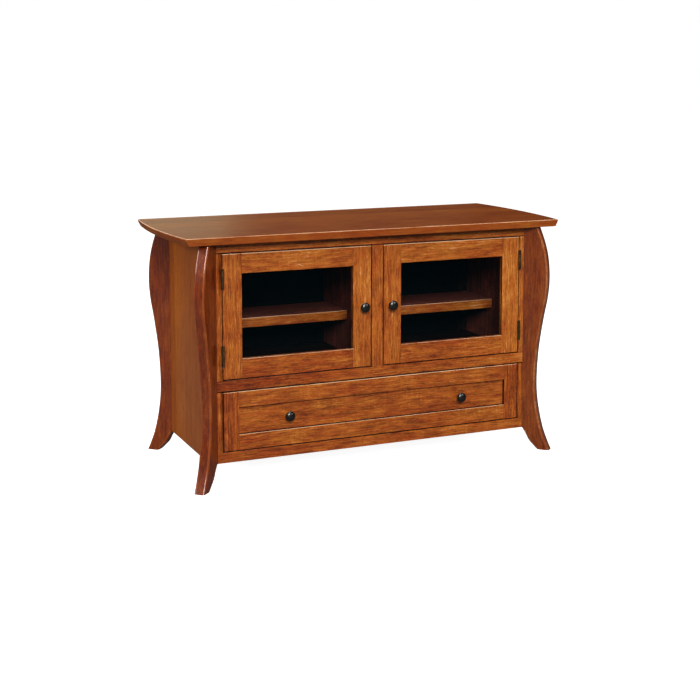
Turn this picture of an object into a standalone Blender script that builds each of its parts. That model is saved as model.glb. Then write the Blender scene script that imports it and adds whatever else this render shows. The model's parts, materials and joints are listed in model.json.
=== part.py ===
"""TV cabinet on four flared corner legs, with two glass doors above one wide drawer.

Metres, +Z up, floor at zero, front towards -Y. The origin is on the floor under the centre
of the cabinet's box. Inside this script a point is given from the front plane of the face
frame: x from the centre line, y backwards from that plane and z from the floor.
"""

import math

import bmesh
import bpy
from mathutils import Matrix, Vector
from mathutils.geometry import tessellate_polygon

# Whole cabinet
OVERALL_HEIGHT = 0.762
CASE_WIDTH = 1.099
CASE_DEPTH = 0.437
CASE_CLEARANCE = 0.070
BOARD = 0.019
SEAT_GAP = 0.0003
CUT_OVERRUN = 0.004

# Top board
TOP_THICKNESS = 0.0225
TOP_SIDE_OVERHANG = 0.0775
TOP_END_BOW = 0.0195
TOP_FRONT_OVERHANG = 0.041
TOP_BACK_OVERHANG = 0.0707
TOP_END_UNDERCUT = 0.0085
TOP_UPRIGHT_EDGE = 0.0055
TOP_ARRIS = 0.0016
TOP_END_STEPS = 10

# Legs
LEG_THICKNESS = 0.035
LEG_FOOT_REACH = 0.0935
LEG_SOLE_WIDTH = 0.0402
LEG_ARRIS = 0.003
LEG_OUTER_SHARES = (
    (0.000, 1.000), (0.034, 0.875), (0.103, 0.679), (0.206, 0.511), (0.309, 0.454), (0.447, 0.511),
    (0.584, 0.666), (0.687, 0.815), (0.773, 0.864), (0.859, 0.815), (0.928, 0.693), (1.000, 0.489),
)
LEG_ARCH_SHARES = ((0.000, 1.000), (0.105, 0.857), (0.400, 0.476), (0.725, 0.238), (1.000, 0.000))
LEG_CURVE_STEPS = 3
LEG_ARRIS_STEPS = 2

# Face frame and back frame
FRONT_STILE_WIDTH = 0.0415
CENTRE_STILE_WIDTH = 0.038
TOP_RAIL_HEIGHT = 0.032
MIDDLE_RAIL_HEIGHT = 0.0355
BOTTOM_RAIL_HEIGHT = 0.0325
DRAWER_OPENING_HEIGHT = 0.1848
BACK_STILE_WIDTH = 0.045
BACK_PANEL_THICKNESS = 0.0064
CABLE_HOLE_DIAMETER = 0.051
CABLE_HOLE_DROP = 0.075
CABLE_HOLE_SIDES = 20

# Corner blocks, glued behind the stiles
CORNER_BLOCK = 0.020

# Shelves and their pegs
SHELF_TOP_LIFT = 0.142
SHELF_LIP_HEIGHT = 0.031
SHELF_SETBACK = 0.216
SHELF_END_CLEARANCE = 0.0012
SHELF_PEG_DIAMETER = 0.0065
SHELF_PEG_REACH = 0.010
SHELF_PEG_INSET = 0.032
SHELF_PEG_SIDES = 12

# Doors
REVEAL = 0.0018
DOOR_THICKNESS = 0.019
DOOR_FRAME_WIDTH = 0.061
GLASS_LIP_THICKNESS = 0.007
GLASS_TONGUE = 0.008
GLASS_THICKNESS = 0.003

# Butt hinges
HINGE_HEIGHT = 0.062
HINGE_END_DISTANCE = 0.074
HINGE_BARREL_DIAMETER = 0.0095
HINGE_PIN_DIAMETER = 0.0032
HINGE_LEAF_THICKNESS = 0.0014
HINGE_LEAF_DEPTH = 0.016
HINGE_LEAF_SPACING = 0.0004
HINGE_TAB_INSET = 0.0001
HINGE_TAB_OVERLAP = 0.001
HINGE_LEAF_TRIM = 0.0004
HINGE_PIN_TRIM = 0.0008
HINGE_SIDES = 14
HINGE_KNUCKLE_SHARES = (0.0, 0.3, 0.7, 1.0)
HINGE_LEVELS = ("lower", "upper")

# Knobs
KNOB_DIAMETER = 0.032
KNOB_PROJECTION = 0.0255
KNOB_FOOT_DIAMETER = 0.0165
KNOB_NECK_DIAMETER = 0.0105
KNOB_HEAD_THICKNESS = 0.0145
KNOB_FOOT_THICKNESS = 0.0025
KNOB_RIM_SHARE = 0.42
KNOB_FOOT_ROUND_SHARES = (0.6, 1.6)
KNOB_CUP_SHARES = (0.62, 0.3)
KNOB_SIDES = 20
KNOB_CROWN_STEPS = 5
DOOR_KNOB_INSET = 0.027
DRAWER_KNOB_DISTANCE = 0.591

# Magnetic catches
CATCH_WIDTH = 0.024
CATCH_DEPTH = 0.015
CATCH_LENGTH = 0.045
CATCH_DROP = 0.030
CATCH_SETBACK = 0.0018

# Drawer
DRAWER_FRAME_WIDTH = 0.049
DRAWER_FRONT_THICKNESS = 0.019
DRAWER_PANEL_RECESS = 0.0075
DRAWER_PANEL_THICKNESS = 0.0064
DRAWER_PANEL_TONGUE = 0.009
DRAWER_SIDE_THICKNESS = 0.0127
DRAWER_BOX_TOP_CLEARANCE = 0.035
DRAWER_BOX_BOTTOM_CLEARANCE = 0.0095
DRAWER_BACK_CLEARANCE = 0.028
DRAWER_BOTTOM_THICKNESS = 0.0064
DRAWER_BOTTOM_LIFT = 0.010
DRAWER_BOTTOM_TONGUE = 0.006

# Drawer slides
SLIDE_WIDTH = 0.0127
SLIDE_HEIGHT = 0.045
SLIDE_WALL = 0.0012
SLIDE_RUNNING_GAP = 0.0005
SLIDE_FRONT_SETBACK = 0.005
SLIDE_BACK_SETBACK = 0.010
SLIDE_BATTEN_HEIGHT = 0.060

# Places that follow from the sizes
DIAGONAL = math.sqrt(0.5)
CASE_HALF = CASE_WIDTH / 2
TOP_UNDERSIDE = OVERALL_HEIGHT - TOP_THICKNESS
CASE_TOP = TOP_UNDERSIDE - SEAT_GAP
LEG_SEAT = LEG_THICKNESS * DIAGONAL
OPENING_HALF = CASE_HALF - FRONT_STILE_WIDTH
INNER_HALF = CASE_HALF - BOARD - SEAT_GAP
INNER_FRONT = BOARD + SEAT_GAP
INNER_BACK = CASE_DEPTH - BOARD - SEAT_GAP
DRAWER_OPENING_LOW = CASE_CLEARANCE + BOTTOM_RAIL_HEIGHT
DRAWER_OPENING_HIGH = DRAWER_OPENING_LOW + DRAWER_OPENING_HEIGHT
DOOR_OPENING_LOW = DRAWER_OPENING_HIGH + MIDDLE_RAIL_HEIGHT
DOOR_OPENING_HIGH = TOP_UNDERSIDE - TOP_RAIL_HEIGHT
DOOR_LOW = DOOR_OPENING_LOW + REVEAL
DOOR_HIGH = DOOR_OPENING_HIGH - REVEAL
DOOR_LATCH_EDGE = CENTRE_STILE_WIDTH / 2 + REVEAL
DOOR_HINGE_EDGE = OPENING_HALF - REVEAL
HINGE_X = OPENING_HALF - REVEAL / 2
HINGE_Y = -(HINGE_BARREL_DIAMETER / 2 + SEAT_GAP)
HINGE_HEIGHTS = (DOOR_LOW + HINGE_END_DISTANCE, DOOR_HIGH - HINGE_END_DISTANCE)
PARTITION_FACE = BOARD / 2
SHELF_TOP = DOOR_OPENING_LOW + SHELF_TOP_LIFT
DRAWER_HALF = OPENING_HALF - SLIDE_WIDTH
DRAWER_BOX_LOW = DRAWER_OPENING_LOW + DRAWER_BOX_BOTTOM_CLEARANCE
DRAWER_BOX_HIGH = DRAWER_OPENING_HIGH - DRAWER_BOX_TOP_CLEARANCE
DRAWER_BOX_FRONT = DRAWER_FRONT_THICKNESS + SEAT_GAP
DRAWER_BOX_BACK = INNER_BACK - DRAWER_BACK_CLEARANCE
SHELF_BACK = INNER_BACK - CORNER_BLOCK - SHELF_END_CLEARANCE
SLIDE_MIDDLE = (DRAWER_BOX_LOW + DRAWER_BOX_HIGH) / 2
FOOT_FRONT = LEG_FOOT_REACH * DIAGONAL - (math.sqrt(2) - 1) * LEG_ARRIS
FACE_PLANE_Y = (FOOT_FRONT - CASE_DEPTH - TOP_BACK_OVERHANG) / 2

LEFT = -1
RIGHT = 1
SIDES = {"left": LEFT, "right": RIGHT}


def clear_scene():
    for old in list(bpy.data.objects):
        bpy.data.objects.remove(old, do_unlink=True)


def principled(name, colour, roughness, metallic=0.0, transmission=0.0):
    material = bpy.data.materials.new(name)
    material.use_nodes = True
    shader = material.node_tree.nodes["Principled BSDF"]
    shader.inputs["Base Color"].default_value = (*colour, 1.0)
    shader.inputs["Roughness"].default_value = roughness
    shader.inputs["Metallic"].default_value = metallic
    shader.inputs["Transmission Weight"].default_value = transmission
    material.diffuse_color = (*colour, 1.0)
    return material


def carrier(name, parent, place):
    """An empty that pieces hang from, at a place given from the face plane."""
    empty = bpy.data.objects.new(name, None)
    bpy.context.scene.collection.objects.link(empty)
    empty["place"] = place
    if parent is None:
        empty.location = place
    else:
        empty.parent = parent
        empty.location = Vector(place) - Vector(parent["place"])
    return empty


def piece(name, solid, place, finish, holder, turn=0.0):
    """Turns a bmesh, which it frees, into a named object at a place given from the face plane."""
    mesh = bpy.data.meshes.new(name)
    bmesh.ops.recalc_face_normals(solid, faces=solid.faces)
    solid.to_mesh(mesh)
    solid.free()
    return instance(name, mesh, place, finish, holder, turn)


def instance(name, mesh, place, finish, holder, turn=0.0):
    made = bpy.data.objects.new(name, mesh)
    bpy.context.scene.collection.objects.link(made)
    if finish is not None and not mesh.materials:
        mesh.materials.append(finish)
    made.parent = holder
    made.location = Vector(place) - Vector(holder["place"])
    made.rotation_euler.z = turn
    return made


def smooth(made, angle=math.radians(40)):
    made.data.shade_smooth()
    made.data.set_sharp_from_angle(angle=angle)
    return made


def add_block(solid, low, high):
    """Adds a rectangular block between two corners to a bmesh."""
    low, high = Vector(low), Vector(high)
    size = high - low
    shape = Matrix.Translation((low + high) / 2) @ Matrix.Diagonal((*size, 1.0))
    bmesh.ops.create_cube(solid, size=1.0, matrix=shape)


def block(name, low, high, finish, holder):
    """A rectangular board between two corners given from the face plane, about its own centre."""
    centre = (Vector(low) + Vector(high)) / 2
    solid = bmesh.new()
    add_block(solid, Vector(low) - centre, Vector(high) - centre)
    return piece(name, solid, centre, finish, holder)


def side_box(side, near, far, y_low, y_high, z_low, z_high):
    """Corners of a box between two distances from the centre line, on the left or the right."""
    x_low, x_high = sorted((side * near, side * far))
    return (x_low, y_low, z_low), (x_high, y_high, z_high)


def place_on(axis, first, second, along):
    """The point whose coordinate on one axis is given, with the other two in x, y, z order."""
    values = [first, second]
    values.insert("xyz".index(axis), along)
    return Vector(values)


def add_prism(solid, outline, axis, start, end, holes=()):
    """Adds an outline, with any holes in it, extruded along an axis between two places."""
    loops = [list(outline)] + [list(hole) for hole in holes]
    rings = []
    for loop in loops:
        low = [solid.verts.new(place_on(axis, a, b, start)) for a, b in loop]
        high = [solid.verts.new(place_on(axis, a, b, end)) for a, b in loop]
        rings.append((low, high))
        for i in range(len(loop)):
            j = (i + 1) % len(loop)
            solid.faces.new((low[i], low[j], high[j], high[i]))
    if not holes:
        solid.faces.new(rings[0][0])
        solid.faces.new(rings[0][1])
        return
    flat = [[Vector((a, b, 0)) for a, b in loop] for loop in loops]
    for level in (0, 1):
        corners = [vert for ring in rings for vert in ring[level]]
        for triangle in tessellate_polygon(flat):
            solid.faces.new([corners[i] for i in triangle])


def prism(name, outline, axis, start, end, finish, holder, holes=()):
    """A prism of its own, placed with its origin at the middle of its length."""
    middle = (start + end) / 2
    solid = bmesh.new()
    add_prism(solid, outline, axis, start - middle, end - middle, holes)
    return piece(name, solid, place_on(axis, 0, 0, middle), finish, holder)


def circle(centre_a, centre_b, radius, sides):
    turns = [2 * math.pi * i / sides for i in range(sides)]
    return [(centre_a + radius * math.cos(t), centre_b + radius * math.sin(t)) for t in turns]


def rectangle(a_low, a_high, b_low, b_high):
    return [(a_low, b_low), (a_high, b_low), (a_high, b_high), (a_low, b_high)]


def clipped(outline, keep):
    """The part of a convex outline where keep(a, b), which is linear, isn't negative."""
    kept = []
    for i, here in enumerate(outline):
        before = outline[i - 1]
        was, now = keep(*before), keep(*here)
        if (was < 0) != (now < 0):
            share = was / (was - now)
            kept.append(tuple(p + (q - p) * share for p, q in zip(before, here)))
        if now >= 0:
            kept.append(here)
    return kept


def add_turned(solid, profile, sides, placement):
    """Adds a body turned about its Z axis from (radius, height) points that start and end at radius 0."""
    rings = []
    for radius, height in profile:
        if radius == 0:
            rings.append([solid.verts.new(placement @ Vector((0, 0, height)))])
            continue
        ring = [placement @ Vector((a, b, height)) for a, b in circle(0, 0, radius, sides)]
        rings.append([solid.verts.new(point) for point in ring])
    for lower, upper in zip(rings, rings[1:]):
        for i in range(sides):
            j = (i + 1) % sides
            corners = [ring[k % len(ring)] for ring, k in ((lower, i), (lower, j), (upper, j), (upper, i))]
            solid.faces.new(list(dict.fromkeys(corners)))


def aimed(place, direction):
    """A placement at a point, with its Z axis along a direction."""
    return Matrix.Translation(place) @ Vector(direction).to_track_quat("Z", "Y").to_matrix().to_4x4()


def helper(name, solid, holder):
    """A body that isn't a piece of its own: it cuts a piece, or is joined to one."""
    made = piece(name, solid, holder["place"], None, holder)
    for vertex in made.data.vertices:
        vertex.co -= Vector(holder["place"])
    made.hide_render = True
    made.display_type = "WIRE"
    return made


def combine(host, other, operation="DIFFERENCE"):
    change = host.modifiers.new(other.name, "BOOLEAN")
    change.operation = operation
    change.solver = "EXACT"
    change.object = other


def through_points(points, steps):
    """A smooth line through the points, with straight chords between neighbouring steps."""
    line = [points[0]]
    padded = [points[0], *points, points[-1]]
    for i in range(len(points) - 1):
        around = padded[i:i + 4]
        for step in range(1, steps + 1):
            t = step / steps
            weights = (
                -t + 2 * t**2 - t**3,
                2 - 5 * t**2 + 3 * t**3,
                t + 4 * t**2 - 3 * t**3,
                -(t**2) + t**3,
            )
            line.append(tuple(sum(w * p[k] for w, p in zip(weights, around)) / 2 for k in (0, 1)))
    return line


# Top


def top_outline(end_inset, edge_inset):
    """Outline of the top: straight front and back edges, and ends that bow out."""
    front = -TOP_FRONT_OVERHANG + edge_inset
    back = CASE_DEPTH + TOP_BACK_OVERHANG - edge_inset
    corner = CASE_HALF + TOP_SIDE_OVERHANG - end_inset
    outline = []
    for side, sense in ((RIGHT, 1), (LEFT, -1)):
        for step in range(TOP_END_STEPS + 1):
            across = sense * (2 * step / TOP_END_STEPS - 1)
            x = side * (corner + TOP_END_BOW * (1 - across**2))
            outline.append((x, (front + back) / 2 + across * (back - front) / 2))
    return outline


def make_top(finish, cabinet):
    """The top, from rings of corners at a few heights. The ends lean in below their upright edge."""
    arris_bulge = TOP_ARRIS * (1 - DIAGONAL)
    levels = [
        (0, TOP_END_UNDERCUT, TOP_ARRIS / 2),
        (TOP_ARRIS / 2, TOP_END_UNDERCUT, 0),
        (TOP_THICKNESS - TOP_UPRIGHT_EDGE, 0, 0),
        (TOP_THICKNESS - TOP_ARRIS, 0, 0),
        (TOP_THICKNESS - arris_bulge, arris_bulge, arris_bulge),
        (TOP_THICKNESS, TOP_ARRIS, TOP_ARRIS),
    ]
    solid = bmesh.new()
    rings = [[solid.verts.new((x, y, z)) for x, y in top_outline(end, edge)] for z, end, edge in levels]
    for lower, upper in zip(rings, rings[1:]):
        for i in range(len(lower)):
            j = (i + 1) % len(lower)
            solid.faces.new((lower[i], lower[j], upper[j], upper[i]))
    solid.faces.new(rings[0])
    solid.faces.new(rings[-1])
    return smooth(piece("top_panel", solid, (0, 0, TOP_UNDERSIDE), finish, cabinet))


# Legs


def leg_outline():
    """Side view of a leg, as (reach out from the seat, height), from the sole's tip upwards."""
    outer = [(LEG_FOOT_REACH * reach, CASE_TOP * height) for height, reach in LEG_OUTER_SHARES]
    inner_toe = LEG_FOOT_REACH - LEG_SOLE_WIDTH
    arch = [(inner_toe * reach, CASE_CLEARANCE * height) for height, reach in LEG_ARCH_SHARES]
    arch = [(max(reach, SEAT_GAP), height) for reach, height in reversed(arch)]
    return through_points(outer, LEG_CURVE_STEPS), through_points(arch, LEG_CURVE_STEPS)


def make_legs(finish, cabinet):
    """Four like legs with rounded arrises along their curves, each turned to face its own corner."""
    outer, arch = leg_outline()
    outline = outer + [(SEAT_GAP, CASE_TOP)] + arch
    solid = bmesh.new()
    add_prism(solid, outline, "y", -LEG_THICKNESS / 2, LEG_THICKNESS / 2)
    solid.verts.index_update()
    curved = set(zip(range(len(outer) - 1), range(1, len(outer))))
    arch_start = len(outer) + 1
    curved |= set(zip(range(arch_start, len(outline) - 1), range(arch_start + 1, len(outline))))
    count = len(outline)
    arrises = []
    for edge in solid.edges:
        first, second = sorted(vert.index for vert in edge.verts)
        same_face = first // count == second // count
        if same_face and (first % count, second % count) in curved:
            arrises.append(edge)
    bmesh.ops.bevel(
        solid, geom=arrises, offset=LEG_ARRIS, offset_type="OFFSET", segments=LEG_ARRIS_STEPS,
        profile=0.5, affect="EDGES", clamp_overlap=True,
    )
    mesh = None
    for end, depth, turn in (("front", LEG_SEAT / 2, -1), ("back", CASE_DEPTH - LEG_SEAT / 2, 1)):
        for side_name, side in SIDES.items():
            name = f"leg_{end}_{side_name}"
            place = (side * (CASE_HALF - LEG_SEAT / 2), depth, 0)
            heading = math.radians(45) if side == RIGHT else math.radians(135)
            if mesh is None:
                leg = piece(name, solid, place, finish, cabinet, turn * heading)
                mesh = leg.data
            else:
                leg = instance(name, mesh, place, finish, cabinet, turn * heading)
            smooth(leg)


# Case


def cut_for_legs(outline):
    """Cuts an outline on one side of the case back to the leg seats at its front and back corners."""
    outline = clipped(outline, lambda x, y: CASE_HALF - abs(x) + y - LEG_SEAT)
    return clipped(outline, lambda x, y: CASE_HALF - abs(x) + CASE_DEPTH - y - LEG_SEAT)


def cut_for_blocks(outline):
    """Cuts an outline inside the case back from the four corner blocks."""
    clear = CORNER_BLOCK + SEAT_GAP / DIAGONAL
    for side in SIDES.values():
        outline = clipped(outline, lambda x, y: INNER_HALF - side * x + y - INNER_FRONT - clear)
        outline = clipped(outline, lambda x, y: INNER_HALF - side * x + INNER_BACK - y - clear)
    return outline


def stile_outline(side, near, face, inward):
    """Plan of a corner stile with its glued block: near edge, outer face and the way into the case."""
    back = face + inward * BOARD
    outline = [
        (near, face),
        (CASE_HALF, face),
        (CASE_HALF, back),
        (INNER_HALF, back),
        (INNER_HALF, back + inward * CORNER_BLOCK),
        (INNER_HALF - CORNER_BLOCK, back),
        (near, back),
    ]
    return cut_for_legs([(side * x, y) for x, y in outline])


def make_sides(finish, cabinet):
    """Side panels, each with its slide batten and two shelf pegs glued in."""
    inside = CASE_HALF - BOARD
    low, high = SLIDE_MIDDLE - SLIDE_BATTEN_HEIGHT / 2, SLIDE_MIDDLE + SLIDE_BATTEN_HEIGHT / 2
    front = INNER_FRONT + CORNER_BLOCK + SEAT_GAP
    back = INNER_BACK - CORNER_BLOCK - SEAT_GAP
    for side_name, side in SIDES.items():
        plan = rectangle(*sorted((side * inside, side * CASE_HALF)), INNER_FRONT, INNER_BACK)
        panel = prism(
            f"side_panel_{side_name}", cut_for_legs(plan), "z", CASE_CLEARANCE, CASE_TOP, finish, cabinet
        )
        batten = bmesh.new()
        add_block(batten, *side_box(side, OPENING_HALF, inside + BOARD / 2, front, back, low, high))
        combine(panel, helper(f"slide_batten_{side_name}", batten, cabinet), "UNION")
        pegs = shelf_pegs(side_name, side, inside - SHELF_PEG_REACH, inside + BOARD / 2, cabinet)
        combine(panel, pegs, "UNION")


def rail_outline():
    """Plan of a face frame rail: full thickness between the stiles, half of it in front of them."""
    inner = OPENING_HALF - SEAT_GAP
    lap = BOARD / 2
    half = [(0, 0), (CASE_HALF, 0), (CASE_HALF, lap), (inner, lap), (inner, BOARD), (0, BOARD)]
    half = [(x, y) for x, y in cut_for_legs(half) if x > 0]
    return half + [(-x, y) for x, y in reversed(half)]


def make_face_frame(finish, cabinet, mortises):
    """Rails that run from leg to leg, half-lapped over the outer stiles, and a short centre stile."""
    rails = {
        "top": (DOOR_OPENING_HIGH, CASE_TOP),
        "middle": (DRAWER_OPENING_HIGH, DOOR_OPENING_LOW),
        "bottom": (CASE_CLEARANCE, DRAWER_OPENING_LOW),
    }
    laps = bmesh.new()
    for name, (low, high) in rails.items():
        prism(f"front_{name}_rail", rail_outline(), "z", low, high, finish, cabinet)
        notch_low = low - (CUT_OVERRUN if low == CASE_CLEARANCE else SEAT_GAP)
        notch_high = high + (CUT_OVERRUN if high == CASE_TOP else SEAT_GAP)
        for side in SIDES.values():
            add_block(laps, *side_box(
                side, OPENING_HALF - CUT_OVERRUN, CASE_HALF + CUT_OVERRUN,
                -CUT_OVERRUN, BOARD / 2 + SEAT_GAP, notch_low, notch_high,
            ))
    laps = helper("rail_laps", laps, cabinet)
    for side_name, side in SIDES.items():
        plan = stile_outline(side, OPENING_HALF, 0, 1)
        stile = prism(f"front_stile_{side_name}", plan, "z", CASE_CLEARANCE, CASE_TOP, finish, cabinet)
        combine(stile, mortises)
        combine(stile, laps)
    centre_half = CENTRE_STILE_WIDTH / 2
    low = (-centre_half, 0, DOOR_OPENING_LOW + SEAT_GAP)
    high = (centre_half, BOARD, DOOR_OPENING_HIGH - SEAT_GAP)
    block("front_centre_stile", low, high, finish, cabinet)


def make_back(finish, panel_finish, cabinet):
    near = CASE_HALF - BACK_STILE_WIDTH
    for side_name, side in SIDES.items():
        plan = stile_outline(side, near, CASE_DEPTH, -1)
        prism(f"back_stile_{side_name}", plan, "z", CASE_CLEARANCE, CASE_TOP, finish, cabinet)
    half = near - SEAT_GAP
    front = INNER_BACK + SEAT_GAP
    outline = rectangle(-half, half, CASE_CLEARANCE, CASE_TOP)
    middle = (PARTITION_FACE + INNER_HALF) / 2
    height = CASE_TOP - CABLE_HOLE_DROP
    radius = CABLE_HOLE_DIAMETER / 2
    holes = [circle(side * middle, height, radius, CABLE_HOLE_SIDES) for side in SIDES.values()]
    prism("back_panel", outline, "y", front, front + BACK_PANEL_THICKNESS, panel_finish, cabinet, holes)


def make_decks(finish, cabinet):
    levels = {
        "middle_deck": (DOOR_OPENING_LOW - BOARD, DOOR_OPENING_LOW),
        "bottom_deck": (CASE_CLEARANCE, CASE_CLEARANCE + BOARD),
    }
    for name, (low, high) in levels.items():
        plan = cut_for_blocks(rectangle(-INNER_HALF, INNER_HALF, INNER_FRONT, INNER_BACK))
        prism(name, plan, "z", low, high, finish, cabinet)


# Partition and shelves


def make_partition(finish, cabinet):
    """The upright between the two compartments, with shelf pegs that run through it."""
    low = (-PARTITION_FACE, INNER_FRONT, DOOR_OPENING_LOW + SEAT_GAP)
    high = (PARTITION_FACE, INNER_BACK, CASE_TOP)
    partition = block("centre_partition", low, high, finish, cabinet)
    reach = PARTITION_FACE + SHELF_PEG_REACH
    combine(partition, shelf_pegs("centre", RIGHT, -reach, reach, cabinet), "UNION")


def shelf_pegs(place_name, side, near, far, cabinet):
    """Two pegs, one behind the other, between two distances from the centre line."""
    height = SHELF_TOP - BOARD - SEAT_GAP - SHELF_PEG_DIAMETER / 2
    low, high = sorted((side * near, side * far))
    solid = bmesh.new()
    for depth in (SHELF_SETBACK + SHELF_PEG_INSET, SHELF_BACK - SHELF_PEG_INSET):
        add_prism(solid, circle(depth, height, SHELF_PEG_DIAMETER / 2, SHELF_PEG_SIDES), "x", low, high)
    return helper(f"shelf_pegs_{place_name}", solid, cabinet)


def make_shelves(finish, cabinet):
    """Shelves with a deeper front lip, which leave a cable gap behind them."""
    outline = [
        (SHELF_SETBACK, SHELF_TOP - SHELF_LIP_HEIGHT),
        (SHELF_SETBACK + BOARD, SHELF_TOP - SHELF_LIP_HEIGHT),
        (SHELF_SETBACK + BOARD, SHELF_TOP - BOARD),
        (SHELF_BACK, SHELF_TOP - BOARD),
        (SHELF_BACK, SHELF_TOP),
        (SHELF_SETBACK, SHELF_TOP),
    ]
    near = PARTITION_FACE + SHELF_END_CLEARANCE
    far = CASE_HALF - BOARD - SHELF_END_CLEARANCE
    for side_name, side in SIDES.items():
        low, high = sorted((side * near, side * far))
        prism(f"shelf_{side_name}", outline, "x", low, high, finish, cabinet)


# Hinges


def hinge_mortises(name, sides, near, far, holder):
    """Shallow pockets for the hinge leaves, between two distances from the centre line."""
    solid = bmesh.new()
    reach = HINGE_HEIGHT / 2 + SEAT_GAP
    depth = HINGE_LEAF_DEPTH + SEAT_GAP
    for side in sides:
        for height in HINGE_HEIGHTS:
            low, high = height - reach, height + reach
            add_block(solid, *side_box(side, near, far, -CUT_OVERRUN, depth, low, high))
    return helper(name, solid, holder)


def hinge_leaf(side, away, height):
    """The flat leaf of one hinge half, in the gap between the door and the frame."""
    near = HINGE_LEAF_SPACING / 2
    edges = sorted((side * HINGE_X + away * near, side * HINGE_X + away * (near + HINGE_LEAF_THICKNESS)))
    reach = HINGE_HEIGHT / 2 - HINGE_LEAF_TRIM
    return (edges[0], 0, height - reach), (edges[1], HINGE_LEAF_DEPTH, height + reach)


def add_knuckle(solid, side, away, low, high, holes):
    """One knuckle: a round barrel section, with a tab that joins it to its leaf."""
    radius = HINGE_BARREL_DIAMETER / 2
    near = HINGE_LEAF_SPACING / 2 + HINGE_TAB_INSET
    far = HINGE_LEAF_SPACING / 2 + HINGE_LEAF_THICKNESS - HINGE_TAB_INSET
    first = math.asin(far / radius)
    last = 2 * math.pi + math.asin(near / radius)
    outline = [(far, HINGE_TAB_OVERLAP)]
    for step in range(HINGE_SIDES + 1):
        turn = first + (last - first) * step / HINGE_SIDES
        outline.append((radius * math.sin(turn), HINGE_Y + radius * math.cos(turn)))
    outline.append((near, HINGE_TAB_OVERLAP))
    outline = [(side * HINGE_X + away * x, y) for x, y in outline]
    add_prism(solid, outline, "z", low, high, holes)


def make_hinge_half(name, side, height, on_frame, finish, holder):
    """A leaf with its knuckles. The frame's half has the two outer ones, with the pin fixed in them."""
    away = side if on_frame else -side
    half = block(name, *hinge_leaf(side, away, height), finish, holder)
    levels = [height + HINGE_HEIGHT * (share - 1 / 2) for share in HINGE_KNUCKLE_SHARES]
    pin_radius = HINGE_PIN_DIAMETER / 2
    knuckles = bmesh.new()
    if on_frame:
        add_knuckle(knuckles, side, away, levels[0], levels[1] - SEAT_GAP / 2, [])
        add_knuckle(knuckles, side, away, levels[2] + SEAT_GAP / 2, levels[3], [])
        pin = bmesh.new()
        outline = circle(side * HINGE_X, HINGE_Y, pin_radius, HINGE_SIDES)
        add_prism(pin, outline, "z", levels[0] + HINGE_PIN_TRIM, levels[3] - HINGE_PIN_TRIM)
        knuckles = helper(f"{name}_knuckles", knuckles, holder)
        combine(half, knuckles, "UNION")
        combine(half, helper(f"{name}_pin", pin, holder), "UNION")
    else:
        hole = circle(side * HINGE_X, HINGE_Y, pin_radius + SEAT_GAP, HINGE_SIDES)
        add_knuckle(knuckles, side, away, levels[1] + SEAT_GAP / 2, levels[2] - SEAT_GAP / 2, [hole])
        combine(half, helper(f"{name}_knuckle", knuckles, holder), "UNION")
    return smooth(half)


# Knobs


def knob_profile():
    """Turned profile of a knob, from the middle of its foot out to the crown of its head."""
    foot = KNOB_FOOT_DIAMETER / 2
    neck = KNOB_NECK_DIAMETER / 2
    head = KNOB_DIAMETER / 2
    head_base = KNOB_PROJECTION - KNOB_HEAD_THICKNESS
    rim = head_base + KNOB_HEAD_THICKNESS * KNOB_RIM_SHARE
    foot_edge, neck_start = (KNOB_FOOT_THICKNESS * share for share in KNOB_FOOT_ROUND_SHARES)
    cup_out, cup_up = KNOB_CUP_SHARES
    profile = [(0, 0), (foot, 0), (foot, foot_edge), (neck, neck_start), (neck, head_base)]
    profile += [(neck + (head - neck) * cup_out, head_base + (rim - head_base) * cup_up)]
    for step in range(KNOB_CROWN_STEPS):
        turn = math.radians(90) * step / KNOB_CROWN_STEPS
        profile.append((head * math.cos(turn), rim + (KNOB_PROJECTION - rim) * math.sin(turn)))
    profile.append((0, KNOB_PROJECTION))
    return profile


def make_knob(name, place, finish, holder):
    """A knob whose foot's middle is at a place on a front face."""
    solid = bmesh.new()
    add_turned(solid, knob_profile(), KNOB_SIDES, aimed((0, 0, 0), (0, -1, 0)))
    return smooth(piece(name, solid, place, finish, holder))


# Doors


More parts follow.
